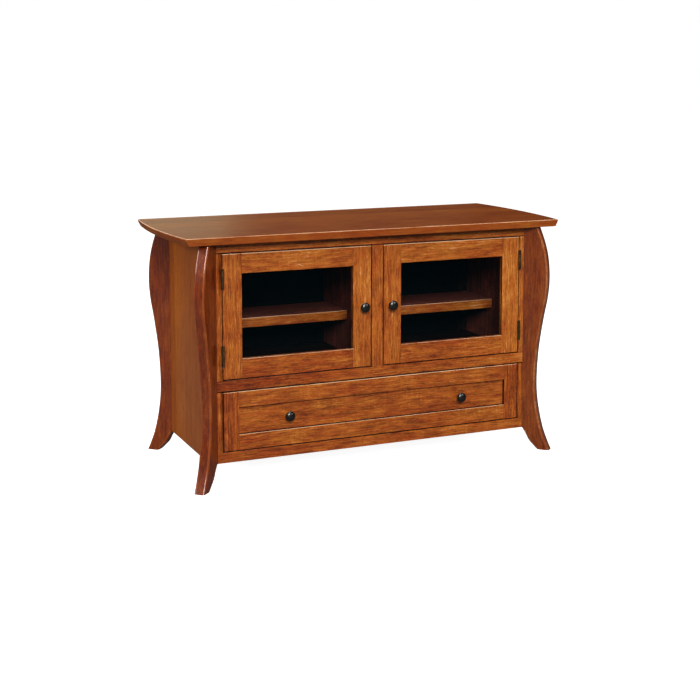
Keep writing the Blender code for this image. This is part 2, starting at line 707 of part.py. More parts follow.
def make_door(side_name, finishes, cabinet):
    side = SIDES[side_name]
    door = f"{side_name}_door"
    swing = carrier(f"{door}_axis", cabinet, (side * HINGE_X, HINGE_Y, DOOR_LOW))
    inner_near = DOOR_LATCH_EDGE + DOOR_FRAME_WIDTH
    inner_far = DOOR_HINGE_EDGE - DOOR_FRAME_WIDTH
    inner_low = DOOR_LOW + DOOR_FRAME_WIDTH
    inner_high = DOOR_HIGH - DOOR_FRAME_WIDTH

    spans = {
        "latch_stile": (DOOR_LATCH_EDGE, inner_near, DOOR_LOW, DOOR_HIGH),
        "hinge_stile": (inner_far, DOOR_HINGE_EDGE, DOOR_LOW, DOOR_HIGH),
        "top_rail": (inner_near + SEAT_GAP, inner_far - SEAT_GAP, inner_high, DOOR_HIGH),
        "bottom_rail": (inner_near + SEAT_GAP, inner_far - SEAT_GAP, DOOR_LOW, inner_low),
    }
    members = {}
    for name, (near, far, low, high) in spans.items():
        corners = side_box(side, near, far, 0, DOOR_THICKNESS, low, high)
        members[name] = block(f"{door}_{name}", *corners, finishes["cherry"], swing)

    tongue = GLASS_TONGUE
    groove = bmesh.new()
    glass_front = GLASS_LIP_THICKNESS
    glass_back = glass_front + GLASS_THICKNESS
    add_block(groove, *side_box(
        side, inner_near - tongue, inner_far + tongue,
        glass_front - SEAT_GAP, glass_back + SEAT_GAP, inner_low - tongue, inner_high + tongue,
    ))
    groove = helper(f"{door}_glass_groove", groove, swing)
    for member in members.values():
        combine(member, groove)
    held = tongue - SEAT_GAP
    pane = side_box(
        side, inner_near - held, inner_far + held,
        glass_front, glass_back, inner_low - held, inner_high + held,
    )
    block(f"{door}_glass", *pane, finishes["glass"], swing)

    knob_place = (side * (DOOR_LATCH_EDGE + DOOR_KNOB_INSET), -SEAT_GAP, (DOOR_LOW + DOOR_HIGH) / 2)
    make_knob(f"{door}_knob", knob_place, finishes["bronze"], swing)

    pocket_floor = HINGE_X - HINGE_LEAF_SPACING / 2 - HINGE_LEAF_THICKNESS - SEAT_GAP
    pockets = hinge_mortises(f"{door}_mortises", [side], pocket_floor, DOOR_HINGE_EDGE + CUT_OVERRUN, swing)
    combine(members["hinge_stile"], pockets)
    for level, height in zip(HINGE_LEVELS, HINGE_HEIGHTS):
        hinge = f"{side_name}_{level}_hinge"
        make_hinge_half(f"{hinge}_door_leaf", side, height, False, finishes["bronze"], swing)
        make_hinge_half(f"{hinge}_frame_leaf", side, height, True, finishes["bronze"], cabinet)


def make_catches(finish, cabinet):
    """Magnetic catches on the partition, just behind the doors' latch stiles."""
    front = DOOR_THICKNESS + CATCH_SETBACK
    high = DOOR_HIGH - CATCH_DROP
    near = PARTITION_FACE + SEAT_GAP
    low = high - CATCH_LENGTH
    for side_name, side in SIDES.items():
        corners = side_box(side, near, near + CATCH_WIDTH, front, front + CATCH_DEPTH, low, high)
        block(f"{side_name}_door_catch", *corners, finish, cabinet)


# Drawer


def make_drawer_front(finish, slider):
    low, high = DRAWER_OPENING_LOW + REVEAL, DRAWER_OPENING_HIGH - REVEAL
    outer = OPENING_HALF - REVEAL
    inner = outer - DRAWER_FRAME_WIDTH
    members = []
    for side_name, side in SIDES.items():
        corners = side_box(side, inner, outer, 0, DRAWER_FRONT_THICKNESS, low, high)
        members.append(block(f"drawer_front_stile_{side_name}", *corners, finish, slider))
    rail_half = inner - SEAT_GAP
    rails = {"top": (high - DRAWER_FRAME_WIDTH, high), "bottom": (low, low + DRAWER_FRAME_WIDTH)}
    for name, (bottom, top) in rails.items():
        corners = ((-rail_half, 0, bottom), (rail_half, DRAWER_FRONT_THICKNESS, top))
        members.append(block(f"drawer_front_{name}_rail", *corners, finish, slider))

    panel_back = DRAWER_PANEL_RECESS + DRAWER_PANEL_THICKNESS
    groove_half = inner + DRAWER_PANEL_TONGUE
    groove_low = low + DRAWER_FRAME_WIDTH - DRAWER_PANEL_TONGUE
    groove_high = high - DRAWER_FRAME_WIDTH + DRAWER_PANEL_TONGUE
    groove = bmesh.new()
    add_block(
        groove, (-groove_half, DRAWER_PANEL_RECESS - SEAT_GAP, groove_low),
        (groove_half, panel_back + SEAT_GAP, groove_high),
    )
    groove = helper("drawer_panel_groove", groove, slider)
    for member in members:
        combine(member, groove)
    panel_low = (-groove_half + SEAT_GAP, DRAWER_PANEL_RECESS, groove_low + SEAT_GAP)
    panel_high = (groove_half - SEAT_GAP, panel_back, groove_high - SEAT_GAP)
    block("drawer_front_panel", panel_low, panel_high, finish, slider)
    return members


def make_drawer_box(finish, slider, front_members):
    """Sides, back and bottom. The bottom's edges sit in grooves in the sides and in the drawer front."""
    inner = DRAWER_HALF - DRAWER_SIDE_THICKNESS
    bottom_low = DRAWER_BOX_LOW + DRAWER_BOTTOM_LIFT
    bottom_high = bottom_low + DRAWER_BOTTOM_THICKNESS
    grooved = [member for member in front_members if member.name != "drawer_front_top_rail"]
    for side_name, side in SIDES.items():
        corners = side_box(
            side, inner, DRAWER_HALF, DRAWER_BOX_FRONT, DRAWER_BOX_BACK, DRAWER_BOX_LOW, DRAWER_BOX_HIGH
        )
        grooved.append(block(f"drawer_side_{side_name}", *corners, finish, slider))
    half = inner - SEAT_GAP
    block(
        "drawer_back", (-half, DRAWER_BOX_BACK - DRAWER_SIDE_THICKNESS, bottom_high + SEAT_GAP),
        (half, DRAWER_BOX_BACK, DRAWER_BOX_HIGH), finish, slider,
    )
    groove_half = inner + DRAWER_BOTTOM_TONGUE
    groove_front = DRAWER_FRONT_THICKNESS - DRAWER_BOTTOM_TONGUE
    groove = bmesh.new()
    add_block(
        groove, (-groove_half, groove_front, bottom_low - SEAT_GAP),
        (groove_half, DRAWER_BOX_BACK + CUT_OVERRUN, bottom_high + SEAT_GAP),
    )
    groove = helper("drawer_bottom_groove", groove, slider)
    for member in grooved:
        combine(member, groove)
    block(
        "drawer_bottom", (-groove_half + SEAT_GAP, groove_front + SEAT_GAP, bottom_low),
        (groove_half - SEAT_GAP, DRAWER_BOX_BACK, bottom_high), finish, slider,
    )


def make_drawer_knobs(finish, slider):
    height = (DRAWER_OPENING_LOW + DRAWER_OPENING_HIGH) / 2
    for side_name, side in SIDES.items():
        place = (side * DRAWER_KNOB_DISTANCE / 2, DRAWER_PANEL_RECESS - SEAT_GAP, height)
        make_knob(f"drawer_knob_{side_name}", place, finish, slider)


# Slides


def channel(side, web, tips, half_height):
    """Section of a slide member: a web, and two flanges that run from it to their tips."""
    inner = half_height - SLIDE_WALL
    web_inside = web + math.copysign(SLIDE_WALL, tips - web)
    points = [
        (web, -half_height), (tips, -half_height), (tips, -inner), (web_inside, -inner),
        (web_inside, inner), (tips, inner), (tips, half_height), (web, half_height),
    ]
    return [(side * x, SLIDE_MIDDLE + z) for x, z in points]


def make_slides(finish, cabinet, middle_slider, slider):
    """Three nested members on each side: fixed channel, intermediate member and drawer member."""
    fixed_web = OPENING_HALF - SEAT_GAP
    drawer_web = DRAWER_HALF + SEAT_GAP
    middle_web = fixed_web - SLIDE_WALL - SLIDE_RUNNING_GAP
    half = SLIDE_HEIGHT / 2
    step = SLIDE_WALL + SLIDE_RUNNING_GAP
    members = {
        "channel": (cabinet, fixed_web, drawer_web + 2 * step, half),
        "middle": (middle_slider, middle_web, drawer_web + step, half - step),
        "drawer_rail": (slider, drawer_web, middle_web - step, half - 2 * step),
    }
    front = INNER_FRONT + SLIDE_FRONT_SETBACK
    back = DRAWER_BOX_BACK - SLIDE_BACK_SETBACK
    for name, (holder, web, tips, half_height) in members.items():
        for side_name, side in SIDES.items():
            outline = channel(side, web, tips, half_height)
            prism(f"slide_{side_name}_{name}", outline, "y", front, back, finish, holder)


def main():
    clear_scene()
    finishes = {
        "cherry": principled("stained_cherry", (0.36, 0.112, 0.032), 0.32),
        "dark_cherry": principled("dark_stained_cherry", (0.205, 0.058, 0.024), 0.32),
        "inside": principled("drawer_maple", (0.56, 0.40, 0.23), 0.5),
        "plywood": principled("stained_plywood", (0.27, 0.10, 0.035), 0.5),
        "glass": principled("door_glass", (0.80, 0.86, 0.84), 0.03, 0.0, 1.0),
        "bronze": principled("oil_rubbed_bronze", (0.030, 0.024, 0.020), 0.28, 0.8),
        "steel": principled("zinc_plated_steel", (0.58, 0.58, 0.60), 0.35, 1.0),
        "catch": principled("catch_plastic", (0.10, 0.07, 0.05), 0.5),
    }
    wood = finishes["cherry"]
    cabinet = carrier("face_plane", None, (0, FACE_PLANE_Y, 0))
    cabinet["place"] = (0, 0, 0)
    slider = carrier("drawer_run", cabinet, (0, 0, SLIDE_MIDDLE))
    middle_slider = carrier("slide_run", cabinet, (0, 0, SLIDE_MIDDLE))

    pocket_floor = HINGE_X + HINGE_LEAF_SPACING / 2 + HINGE_LEAF_THICKNESS + SEAT_GAP
    pocket_mouth = OPENING_HALF - CUT_OVERRUN
    mortises = hinge_mortises("frame_mortises", SIDES.values(), pocket_mouth, pocket_floor, cabinet)

    make_top(finishes["dark_cherry"], cabinet)
    make_legs(finishes["dark_cherry"], cabinet)
    make_sides(finishes["dark_cherry"], cabinet)
    make_face_frame(wood, cabinet, mortises)
    make_back(finishes["dark_cherry"], finishes["plywood"], cabinet)
    make_decks(wood, cabinet)
    make_partition(wood, cabinet)
    make_shelves(wood, cabinet)
    make_catches(finishes["catch"], cabinet)
    make_slides(finishes["steel"], cabinet, middle_slider, slider)
    make_drawer_box(finishes["inside"], slider, make_drawer_front(wood, slider))
    make_drawer_knobs(finishes["bronze"], slider)
    for side_name in SIDES:
        make_door(side_name, finishes, cabinet)


main()
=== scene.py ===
"""Looks of the TV cabinet: stained cherry boards, glass doors and dark bronze knobs and hinges."""

import json
import math
import random

import bmesh
import bpy
from mathutils import Matrix, Vector
from mathutils.geometry import tessellate_polygon


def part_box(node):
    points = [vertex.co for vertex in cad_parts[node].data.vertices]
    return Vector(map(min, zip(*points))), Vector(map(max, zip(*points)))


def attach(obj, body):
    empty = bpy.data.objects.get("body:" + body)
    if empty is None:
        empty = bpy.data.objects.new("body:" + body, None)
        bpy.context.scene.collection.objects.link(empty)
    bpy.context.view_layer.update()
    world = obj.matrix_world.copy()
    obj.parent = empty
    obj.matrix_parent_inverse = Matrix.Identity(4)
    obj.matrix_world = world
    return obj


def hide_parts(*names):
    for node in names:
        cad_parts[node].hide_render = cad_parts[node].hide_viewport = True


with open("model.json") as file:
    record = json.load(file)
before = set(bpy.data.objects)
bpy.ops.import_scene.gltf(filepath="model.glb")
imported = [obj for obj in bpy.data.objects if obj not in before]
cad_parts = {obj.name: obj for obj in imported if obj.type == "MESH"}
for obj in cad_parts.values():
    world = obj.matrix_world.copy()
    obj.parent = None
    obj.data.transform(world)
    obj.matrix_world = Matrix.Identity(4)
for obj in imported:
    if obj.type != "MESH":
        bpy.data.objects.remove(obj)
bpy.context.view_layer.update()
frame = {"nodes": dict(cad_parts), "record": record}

RECORD = frame["record"]
BODY_OF = {node: body for body, nodes in RECORD["behaviour"]["bodies"].items() for node in nodes}
OTHER = {"left": "right", "right": "left"}
SIDES = {"left": -1, "right": 1}

# Places and sizes read from the frame
CASE_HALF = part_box("side_panel_right")[1].x
CASE_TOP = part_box("front_top_rail")[1].z
CASE_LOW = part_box("front_bottom_rail")[0].z
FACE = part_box("front_stile_left")[0].y
CASE_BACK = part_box("back_stile_left")[1].y
TOP_LOW, TOP_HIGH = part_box("top_panel")

# Eased edges
DOOR_ARRIS = 0.0018
OPENING_ARRIS = 0.0011
RAIL_ARRIS = 0.003
DRAWER_ARRIS = 0.0017
SHELF_ARRIS = 0.0015
BOARD_ARRIS = 0.0005
FINE_ARRIS = 0.00025
ARRIS_STEPS = 3
FINE_ARRIS_STEPS = 2
MERGE_DISTANCE = 0.00001
PLANE_TOLERANCE = 0.00005
FLAT_ANGLE = math.radians(0.5)

# How much painted light an edge or face gets: painted highlight above 0, painted shade below 0
LIT_ARRIS_PAINTED_HIGHLIGHT = 1.0
OTHER_ARRIS_PAINTED_SHADE = -0.9
NARROW_EDGE_PAINTED_SHADE = -1.0
TOP_SIDE_PAINTED_LIGHT = 0.22
LEG_ARRIS_PAINTED_HIGHLIGHT = 0.45

# Tone of each board, from dark to pale. A pair runs along the grain, from the board's low end.
TONES = {
    "front_stile_left": 0.1, "front_stile_right": 0.1, "front_centre_stile": 0.2,
    "front_top_rail": (0.0, 0.4), "front_middle_rail": (-1.1, 0.7), "front_bottom_rail": (-0.5, 0.3),
    "back_stile_left": 0.1, "back_stile_right": 0.1,
    # The middle deck's low tone deepens its painted shade
    "shelf_left": 0.4, "shelf_right": 0.4, "middle_deck": -0.8, "bottom_deck": -0.4,
    "left_door_latch_stile": 0.42, "right_door_latch_stile": 0.3,
    "left_door_hinge_stile": 0.2, "right_door_hinge_stile": 0.9,
    "left_door_top_rail": 0.3, "right_door_top_rail": 0.3,
    "left_door_bottom_rail": -0.2, "right_door_bottom_rail": 0.1,
    "drawer_front_stile_left": -0.4, "drawer_front_stile_right": -0.4,
    "drawer_front_top_rail": 0.1, "drawer_front_bottom_rail": 0.1, "drawer_front_panel": -0.1,
    "drawer_back": 0.1, "drawer_bottom": 0.2,
}
LEG_TONES = {
    ("front", "left"): -0.3, ("front", "right"): 0.4, ("back", "left"): (0.2, -0.6), ("back", "right"): 0.0,
}

# Top board
TOP_BOW = 0.0195
TOP_UNDERCUT = 0.0085
TOP_UPRIGHT_EDGE = 0.0055
TOP_ARRIS = 0.0016
TOP_LOWER_ARRIS = 0.0008
TOP_LOWER_ARRIS_SHARE = 0.3
TOP_BREAK_SHARE = 0.15
TOP_END_STEPS = 44
TOP_ARRIS_STEPS = 4

# Legs. The shares are of the case's height and the leg's reach, and of the arch's height and width.
LEG_THICKNESS = 0.035
LEG_REACH = 0.0935
LEG_SOLE_WIDTH = 0.0402
LEG_SEAT_GAP = 0.0003
LEG_ARRIS = 0.006
LEG_ARRIS_STEPS = 6
LEG_CURVE_STEPS = 8
LEG_OUTER_SHARES = (
    (0.000, 1.000), (0.034, 0.875), (0.103, 0.679), (0.206, 0.511), (0.309, 0.454), (0.447, 0.511),
    (0.584, 0.666), (0.687, 0.815), (0.773, 0.864), (0.859, 0.815), (0.928, 0.693), (1.000, 0.489),
)
LEG_ARCH_SHARES = ((0.000, 1.000), (0.105, 0.857), (0.400, 0.476), (0.725, 0.238), (1.000, 0.000))

# Knobs. Foot and neck radii are shares of the head's. Each profile has pairs of a share of its own
# radius and a share of the knob's reach, or, on the head, of the way from its base up to its rim.
KNOB_SIDES = 56
KNOB_CROWN_STEPS = 12
KNOB_RIM_SHARE = 0.42
KNOB_FOOT_SHARE = 0.515
KNOB_NECK_SHARE = 0.328
KNOB_HEAD_BASE_SHARE = 0.431
KNOB_FOOT_SHARES = ((1, 0), (1, 0.045), (0.93, 0.085), (0.74, 0.105))
KNOB_NECK_SHARES = ((1.1, 0.16), (1, 0.24), (1, 0.34), (1.06, 0.40))
KNOB_HEAD_SHARES = ((0.52, 0), (0.76, 0.28), (0.93, 0.62))

# Screws. A hinge screw has its share of the leaf's height and its distance from the leaf's back edge.
HINGE_SCREW_DIAMETER = 0.0062
HINGE_SCREW_RISE = 0.00012
HINGE_SCREW_PLACES = ((0.16, 0.0045), (0.5, 0.0075), (0.84, 0.0045))
KNOB_SCREW_DIAMETER = 0.0085
KNOB_SCREW_RISE = 0.0018
BACK_SCREW_DIAMETER = 0.0070
BACK_SCREW_RISE = 0.0012
BACK_SCREW_EDGE = 0.012
BACK_SCREW_HEIGHTS = (0.10, 0.26, 0.42, 0.58, 0.72)
BACK_SCREW_OFFSETS = (-0.25, 0.0, 0.25)
SCREW_SIDES = 24
SCREW_CROSS_ARM_SHARE = 0.55
SCREW_CROSS_HALF_WIDTH_SHARE = 0.14
SCREW_CROSS_FLOOR_SHARE = 0.35
SCREW_PROFILE_SHARES = ((1.0, 0.0), (1.0, 0.35), (0.93, 0.75), (0.80, 1.0))

# Width and rise of the line of painted shade
SHADE_LINE_SIZE = (0.0018, 0.0003)

# Catches: width, thickness and height of the pieces
STRIKE_PLATE = (0.014, 0.001, 0.036)
STRIKE_PLATE_RISE_SHARE = 0.7
CATCH_POLE = (0.0022, 0.0010, 0.034)
CATCH_POLE_RISE_SHARE = 0.6
CATCH_POLE_SPACING = 0.009
CATCH_ARRIS = 0.0012
PLATE_ARRIS = 0.0003

# Studio
FLOOR_HALF = 40.0
FLOOR_DROP = 0.0004
FLOOR_GLOW = 0.93
FLOOR_SHEEN = 0.015
FLOOR_SEEN = 0.9
FLOOR_BOUNCE = 0.08
ROOM_LIGHT = 0.10
ROOM_MIRRORED = 0.02
CAMERA_LENS = 70.7
CAMERA_SHIFT = -0.2
CAMERA_PLACE = (-1.7591, FACE - 3.8525, 1.2861)
CAMERA_HEADING = 0.4082
CAMERA_PITCH = math.radians(6.337)
LAMP_TARGET = (0, -0.1, 0.42)
WHITE = (1.0, 1.0, 1.0)

# Softboxes: name, place, width and height, power, colour
SOFTBOXES = (
    ("key", (-2.7, -8.0, 4.6), (3.0, 3.0), 650, WHITE),
    ("right", (2.0, -3.3, 2.6), (0.8, 0.8), 30, WHITE),
    ("left", (-3.8, 0.2, 1.9), (1.3, 1.3), 65, WHITE),
    ("overhead", (-0.2, -1.2, 3.0), (1.5, 1.0), 26, WHITE),
    ("sheen", (0.6, 5.5, 1.5), (1.6, 1.0), 8.4, (0.86, 1.0, 0.62)),
    ("wide_sheen", (1.5, 5.6, 1.6), (3.6, 1.0), 2.0, (0.95, 1.0, 0.72)),
    ("behind", (-0.8, 5.0, 2.5), (1.6, 1.6), 40, WHITE),
    ("behind_right", (4.4, 1.4, 2.8), (1.6, 1.6), 28, WHITE),
)


def linear(hex_colour):
    """Linear red, green, blue and alpha of an sRGB hex colour."""
    channels = [int(hex_colour[i:i + 2], 16) / 255 for i in (1, 3, 5)]
    return (*(c / 12.92 if c <= 0.04045 else ((c + 0.055) / 1.055) ** 2.4 for c in channels), 1.0)


def add(tree, kind, inputs=None, stops=None, **settings):
    """Adds a node with its settings, and sets or links its inputs by name or number.

    Stops fill a colour ramp. A Mix node's two colours are its inputs 6 and 7.
    """
    made = tree.nodes.new("ShaderNode" + kind)
    for name, value in settings.items():
        setattr(made, name, value)
    for name, value in (inputs or {}).items():
        if isinstance(value, bpy.types.NodeSocket):
            tree.links.new(value, made.inputs[name])
        else:
            made.inputs[name].default_value = value
    if stops:
        elements = made.color_ramp.elements
        while len(elements) < len(stops):
            elements.new(1.0)
        for element, (position, colour) in zip(elements, stops):
            element.position = position
            element.color = colour
    return made


def new_material(name, **sockets):
    """A material, its node tree and its shader, with constants on the shader's own sockets."""
    material = bpy.data.materials.new(name)
    material.use_nodes = True
    shader = material.node_tree.nodes["Principled BSDF"]
    for socket, value in sockets.items():
        shader.inputs[socket.replace("_", " ")].default_value = value
    return material, material.node_tree, shader


def grey(value):
    """A linear grey."""
    return (value, value, value, 1.0)


def stained_wood(name, red, gold, stave=None, contrast=1.0, ring=0.006, roughness=0.36, specular=0.35,
                 coat=0.45, coat_roughness=0.16):
    """Plain-sawn cherry, maple or plywood, planed, stained and sprayed with lacquer.

    The eye gets hues that drift between red and gold, blotches where the stain sank in, wavy
    streaks and soft rings that run out into cathedrals, a little curl across the grain and gum
    specks. Painted light moves the shade: painted shade darkens gaps and narrow edges, and painted
    highlight makes lit arrises pale. Red and gold hold shades from dark to pale.
    A panel is glued up from staves. Paint is the same wood in shades that are nearly one.
    """
    material, tree, shader = new_material(
        name, Specular_IOR_Level=specular, Coat_Weight=coat, Coat_Roughness=coat_roughness, IOR=1.45,
    )
    board = add(tree, "Attribute", attribute_name="board").outputs["Vector"]
    tone = add(tree, "Attribute", attribute_name="tone").outputs["Fac"]
    painted_light = add(tree, "Attribute", attribute_name="painted_light").outputs["Fac"]

    def scaled(vector, factors):
        return add(tree, "VectorMath", {0: vector, 1: factors}, operation="MULTIPLY").outputs[0]

    def weighed(value, weight, total):
        return add(tree, "Math", {0: value, 1: weight, 2: total}, operation="MULTIPLY_ADD").outputs[0]

    # Each stave comes from its own place in the plank and has its own tone
    if stave:
        split = add(tree, "SeparateXYZ", {0: board})
        count = add(tree, "Math", {0: split.outputs["Y"], 1: stave}, operation="DIVIDE").outputs[0]
        index = add(tree, "Math", {0: count}, operation="FLOOR").outputs[0]
        pick = add(tree, "TexWhiteNoise", {"W": index}, noise_dimensions="1D").outputs["Value"]
        inside = add(tree, "Math", {0: count, 1: index}, operation="SUBTRACT").outputs[0]
        centred = add(tree, "Math", {0: inside, 1: pick}, operation="SUBTRACT").outputs[0]
        across = add(tree, "Math", {0: centred, 1: stave}, operation="MULTIPLY").outputs[0]
        board = add(tree, "CombineXYZ", {
            0: weighed(pick, 7.0, split.outputs["X"]), 1: across, 2: weighed(pick, 0.08, split.outputs["Z"]),
        }).outputs[0]
        tone = weighed(pick, 0.9, weighed(tone, 1.0, -0.45))

    def pattern(per_metre, detail=3.0, rough=0.55, place=None):
        """Noise with so many features to the metre along, across and through the board."""
        vector = scaled(place or board, per_metre)
        return add(tree, "TexNoise", {"Vector": vector, "Scale": 1.0, "Detail": detail, "Roughness": rough})

    # The grain wanders a few millimetres over each hand's breadth
    drift = add(tree, "VectorMath", {0: pattern((7, 16, 16), 2.0).outputs["Color"], 1: (-0.5, -0.5, -0.5)},
                operation="ADD").outputs[0]
    wavy = add(tree, "VectorMath", {0: board, 1: scaled(drift, (0, 0.014, 0.014))},
               operation="ADD").outputs[0]

    # Streaks are some 9 mm wide, threads 4 mm and fibre 2.4 mm. Real fibre is finer, and here it
    # is drawn as coarse as it needs to be to show.
    streak = pattern((5, 110, 110), 5.0, 0.66, wavy).outputs["Fac"]
    thread = pattern((15, 240, 240), 4.0, 0.7, wavy).outputs["Fac"]
    fibre = pattern((90, 420, 420), 3.0, 0.65, wavy).outputs["Fac"]

    # The pith lies along the board's own axis and wanders too
    sway = add(tree, "VectorMath", {0: pattern((1.8, 6, 6), 2.0).outputs["Color"], 1: (-0.5, -0.5, -0.5)},
               operation="ADD").outputs[0]
    bent = add(tree, "VectorMath", {0: wavy, 1: scaled(sway, (0, 0.05, 0.05))}, operation="ADD").outputs[0]
    radius = add(tree, "VectorMath", {0: scaled(bent, (0, 1, 1))}, operation="LENGTH").outputs["Value"]
    rings = add(tree, "Math", {0: radius, 1: 1 / ring}, operation="MULTIPLY").outputs[0]
    year = add(tree, "Math", {0: weighed(streak, 1.1, rings)}, operation="FRACT").outputs[0]
    late = add(tree, "ValToRGB", {"Fac": year}, [
        (0.0, grey(0.35)), (0.15, grey(0.62)), (0.6, grey(0.58)), (0.88, grey(0.18)), (1.0, grey(0.35)),
    ]).outputs["Color"]

    # Blotches are some 17 mm wide, clouds 80 mm, and ripples of curl follow each other every 6 mm
    blotch = pattern((20, 60, 60), 4.0, 0.62, wavy).outputs["Fac"]
    cloud = pattern((5, 13, 13), 3.0, 0.6).outputs["Fac"]
    ripple = pattern((170, 26, 26), 2.0, 0.5, wavy).outputs["Fac"]
    curly = add(tree, "MapRange", {
        "Value": pattern((5, 9, 9), 1.0).outputs["Fac"], "From Min": 0.52, "From Max": 0.68,
    })
    curl = add(tree, "Math", {0: weighed(ripple, 1.0, -0.5), 1: curly.outputs[0]},
               operation="MULTIPLY").outputs[0]

    # Painted light moves the shade: painted highlight on lit arrises, painted shade on gaps and narrow edges
    shade = weighed(curl, 0.30 * contrast, weighed(tone, 0.16, weighed(painted_light, 0.5, 0.5)))
    parts = (
        (late, 0.20), (streak, 0.50), (thread, 1.05), (fibre, 0.70), (blotch, 0.45), (cloud, 0.45),
    )
    for part, weight in parts:
        shade = weighed(weighed(part, 1.0, -0.5), weight * contrast, shade)
    places = (0.0, 0.22, 0.42, 0.58, 0.78, 1.0)
    reds = add(tree, "ValToRGB", {"Fac": shade}, [(p, linear(c)) for p, c in zip(places, red)])
    golds = add(tree, "ValToRGB", {"Fac": shade}, [(p, linear(c)) for p, c in zip(places, gold)])
    drift_of_hue = weighed(cloud, 0.5, pattern((10, 70, 70), 5.0, 0.7, wavy).outputs["Fac"])
    hue = add(tree, "MapRange", {
        "Value": weighed(tone, 0.16, drift_of_hue), "From Min": 0.56, "From Max": 0.96,
    })
    stain = add(tree, "Mix", {"Factor": hue.outputs[0], 6: reds.outputs["Color"], 7: golds.outputs["Color"]},
                data_type="RGBA").outputs[2]
    gum = add(tree, "ValToRGB", {"Fac": pattern((95, 260, 260), 1.0, 0.5, wavy).outputs["Fac"]}, [
        (0.0, grey(0)), (0.72, grey(0)), (0.77, grey(0.7)),
    ]).outputs["Color"]
    colour = add(tree, "Mix", {"Factor": gum, 6: stain, 7: linear("#2E140B")}, data_type="RGBA")
    tree.links.new(colour.outputs[2], shader.inputs["Base Color"])

    satin = add(tree, "MapRange", {
        "Value": streak, "From Min": 0.3, "From Max": 0.7,
        "To Min": roughness + 0.08, "To Max": roughness - 0.05,
    })
    tree.links.new(satin.outputs[0], shader.inputs["Roughness"])
    bump = add(tree, "Bump", {"Strength": 0.2, "Distance": 0.0002, "Height": weighed(fibre, 0.5, streak)})
    tree.links.new(bump.outputs[0], shader.inputs["Normal"])
    return material


def painted_corner_shade():
    """Painted shade for a corner: a thin, nearly black line.

    It is uneven every 6 mm.
    """
    material, tree, shader = new_material("painted_shade_in_corner", Specular_IOR_Level=0.2)
    place = add(tree, "TexCoord").outputs["Object"]
    wiped = add(tree, "TexNoise", {"Vector": place, "Scale": 160.0, "Detail": 3.0})
    colour = add(tree, "ValToRGB", {"Fac": wiped.outputs["Fac"]}, [
        (0.3, linear("#1C0903")), (0.7, linear("#3A1608")),
    ])
    tree.links.new(colour.outputs["Color"], shader.inputs["Base Color"])
    dull = add(tree, "MapRange", {"Value": wiped.outputs["Fac"], "To Min": 0.5, "To Max": 0.7})
    tree.links.new(dull.outputs[0], shader.inputs["Roughness"])
    bump = add(tree, "Bump", {"Strength": 0.2, "Distance": 0.0001, "Height": wiped.outputs["Fac"]})
    tree.links.new(bump.outputs[0], shader.inputs["Normal"])
    return material


def aged_metal(name, shades, glossy, dull, lacquer):
    """A zinc casting or a brass plate that is chemically darkened, and lacquered or left bare.

    The eye gets a dark metal with a soft gloss that changes every centimetre, from a cold shade to
    the warmer one of worn places, and a slight roughness. Its grains of 1.4 mm are coarser than
    real ones, so that they show.
    """
    material, tree, shader = new_material(name, Metallic=0.85, Coat_Weight=lacquer, Coat_Roughness=0.22)
    place = add(tree, "TexCoord").outputs["Object"]
    patina = add(tree, "TexNoise", {"Vector": place, "Scale": 90.0, "Detail": 4.0, "Roughness": 0.6})
    colour = add(tree, "ValToRGB", {"Fac": patina.outputs["Fac"]}, [
        (p, linear(shade)) for p, shade in zip((0.32, 0.55, 0.72), shades)
    ])
    tree.links.new(colour.outputs["Color"], shader.inputs["Base Color"])
    gloss = add(tree, "MapRange", {"Value": patina.outputs["Fac"], "To Min": glossy, "To Max": dull})
    tree.links.new(gloss.outputs[0], shader.inputs["Roughness"])
    cast = add(tree, "TexNoise", {"Vector": place, "Scale": 700.0, "Detail": 2.0})
    bump = add(tree, "Bump", {"Strength": 0.15, "Distance": 0.0001, "Height": cast.outputs["Fac"]})
    tree.links.new(bump.outputs[0], shader.inputs["Normal"])
    return material


def zinc():
    """Cold-rolled steel, zinc plated: pale grey, with faint clouds of 40 mm and lines along the roll.

    The lines are drawn 1.1 mm wide, coarser than real ones, so that they show.
    """
    material, tree, shader = new_material("zinc_plated_steel", Metallic=1.0)
    place = add(tree, "TexCoord").outputs["Object"]
    drawn = add(tree, "VectorMath", {0: place, 1: (900, 12, 900)}, operation="MULTIPLY").outputs[0]
    brushed = add(tree, "TexNoise", {"Vector": drawn, "Scale": 1.0, "Detail": 3.0})
    cloud = add(tree, "TexNoise", {"Vector": place, "Scale": 25.0, "Detail": 2.0})
    mixed = add(tree, "Math", {0: brushed.outputs["Fac"], 1: 0.5, 2: cloud.outputs["Fac"]},
                operation="MULTIPLY_ADD").outputs[0]
    colour = add(tree, "ValToRGB", {"Fac": mixed}, [(0.45, linear("#A3A5A8")), (0.95, linear("#CBCBCB"))])
    tree.links.new(colour.outputs["Color"], shader.inputs["Base Color"])
    gloss = add(tree, "MapRange", {"Value": brushed.outputs["Fac"], "To Min": 0.26, "To Max": 0.48})
    tree.links.new(gloss.outputs[0], shader.inputs["Roughness"])
    bump = add(tree, "Bump", {"Strength": 0.1, "Distance": 0.0001, "Height": brushed.outputs["Fac"]})
    tree.links.new(bump.outputs[0], shader.inputs["Normal"])
    return material


